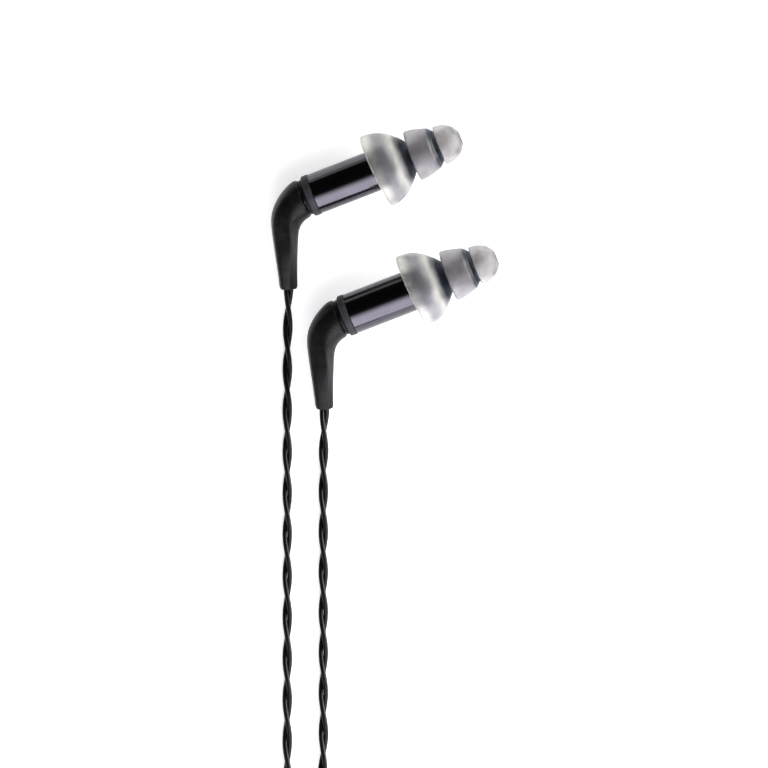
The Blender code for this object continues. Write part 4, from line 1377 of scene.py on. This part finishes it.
class EARPHONES_OT_stage(bpy.types.Operator):
    """Set the camera, the pale floor, the backdrop and the soft lights"""

    bl_idname = "earphones.stage"
    bl_label = "Stage"

    def execute(self, context):
        stage = context.scene.earphone_stage
        scene = context.scene
        height = Vector(JOINTS["left_turn"]["pos_m"]).z
        aim = Vector((stage.aim_x, stage.aim_y, height))
        data = bpy.data.cameras.new("camera")
        data.lens = stage.focal_length
        data.sensor_width = SENSOR_WIDTH
        camera = bpy.data.objects.new("camera", data)
        scene.collection.objects.link(camera)
        camera.location = aim + Vector((0.0, 0.0, stage.camera_height))
        scene.camera = camera
        scene.view_settings.view_transform = "Standard"

        bm = bmesh.new()
        bmesh.ops.create_grid(bm, x_segments=2, y_segments=2, size=FLOOR_HALF)
        bmesh.ops.translate(bm, vec=(0.0, 0.0, -FLOOR_DROP * MM), verts=bm.verts[:])
        finish = Finish(
            "pale_floor", tuple(stage.floor_colour), 0.85,
            plain={"Emission Color": (*WHITE, 1.0), "Emission Strength": stage.floor_glow},
        )
        placed("floor", bm, finish.material)

        forward = Vector(JOINTS["left_turn"]["axis"])
        forward.z = 0.0
        forward.normalize()
        lower = Vector((forward.y, -forward.x, 0.0))
        up = Vector((0.0, 0.0, 1.0))
        end = stage.end_strength
        panels = (
            ("key", lower, KEY_WAY, KEY_SIZE, stage.key_strength, KEY_TINT, KEY_FADE),
            ("rim", -lower, RIM_WAY, RIM_SIZE, stage.rim_strength, RIM_TINT, 0.0),
            ("end_right", forward, END_WAY, END_SIZE, end, WHITE, 0.0),
            ("end_left", -forward, END_WAY, END_SIZE, end * LEFT_END_SHARE, WHITE, 0.0),
        )
        for name, side, (out, rise), size, strength, tint, fade in panels:
            softbox(name, aim, side * out + up * rise, size, strength, tint, fade)
        self.backdrop(scene)
        return {"FINISHED"}

    def backdrop(self, scene):
        """A pale backdrop to look at, which gives only a little light of its own."""
        world = bpy.data.worlds.new("backdrop")
        scene.world = world
        world.use_nodes = True
        tree = world.node_tree
        shader = tree.nodes["Background"]
        shader.inputs["Color"].default_value = (0.93, 0.93, 0.94, 1.0)
        seen = tree.nodes.new("ShaderNodeLightPath").outputs["Is Camera Ray"]
        strength = tree.nodes.new("ShaderNodeMapRange")
        strength.inputs["To Min"].default_value = BACKDROP_LIT
        strength.inputs["To Max"].default_value = BACKDROP_SEEN
        tree.links.new(seen, strength.inputs["Value"])
        tree.links.new(strength.outputs["Result"], shader.inputs["Strength"])


class EARPHONES_OT_finishes(bpy.types.Operator):
    """Make every finish from the colours in the settings"""

    bl_idname = "earphones.finishes"
    bl_label = "Finishes"

    def execute(self, context):
        make_finishes(context.scene.earphone_pieces, context.scene.earphone_cables)
        return {"FINISHED"}


STEPS = (
    EARPHONES_OT_finishes,
    EARPHONES_OT_stage,
    EARPHONES_OT_splitter,
    EARPHONES_OT_slider,
    EARPHONES_OT_plug,
    EARPHONES_OT_cables,
    EARPHONES_OT_tie,
    EARPHONES_OT_ear_tips,
    EARPHONES_OT_turned_parts,
    EARPHONES_OT_boots,
    EARPHONES_OT_inner_parts,
)


class EARPHONES_PT_panel(bpy.types.Panel):
    """Every step of the build with its sizes and colours"""

    bl_idname = "EARPHONES_PT_panel"
    bl_label = "Wired earphones"
    bl_space_type = "VIEW_3D"
    bl_region_type = "UI"
    bl_category = "Earphones"

    def draw(self, context):
        layout = self.layout
        for step in STEPS:
            layout.operator(step.bl_idname)
        scene = context.scene
        for settings in (scene.earphone_pieces, scene.earphone_cables, scene.earphone_stage):
            box = layout.box()
            for name in settings.__annotations__:
                box.prop(settings, name)


SETTINGS = {
    "earphone_pieces": EarpieceSettings,
    "earphone_cables": CableSettings,
    "earphone_stage": StageSettings,
}


def register():
    for name, settings in SETTINGS.items():
        bpy.utils.register_class(settings)
        setattr(bpy.types.Scene, name, PointerProperty(type=settings))
    for step in (*STEPS, EARPHONES_PT_panel):
        bpy.utils.register_class(step)


def unregister():
    for step in reversed((*STEPS, EARPHONES_PT_panel)):
        bpy.utils.unregister_class(step)
    for name, settings in SETTINGS.items():
        delattr(bpy.types.Scene, name)
        bpy.utils.unregister_class(settings)


def main():
    register()
    bpy.ops.earphones.finishes()
    bpy.ops.earphones.stage()
    bpy.ops.earphones.splitter()
    bpy.ops.earphones.slider()
    bpy.ops.earphones.plug()
    bpy.ops.earphones.cables()
    bpy.ops.earphones.tie()
    bpy.ops.earphones.ear_tips()
    bpy.ops.earphones.turned_parts()
    bpy.ops.earphones.boots()
    bpy.ops.earphones.inner_parts()
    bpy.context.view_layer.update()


if __name__ == "__main__":
    main()
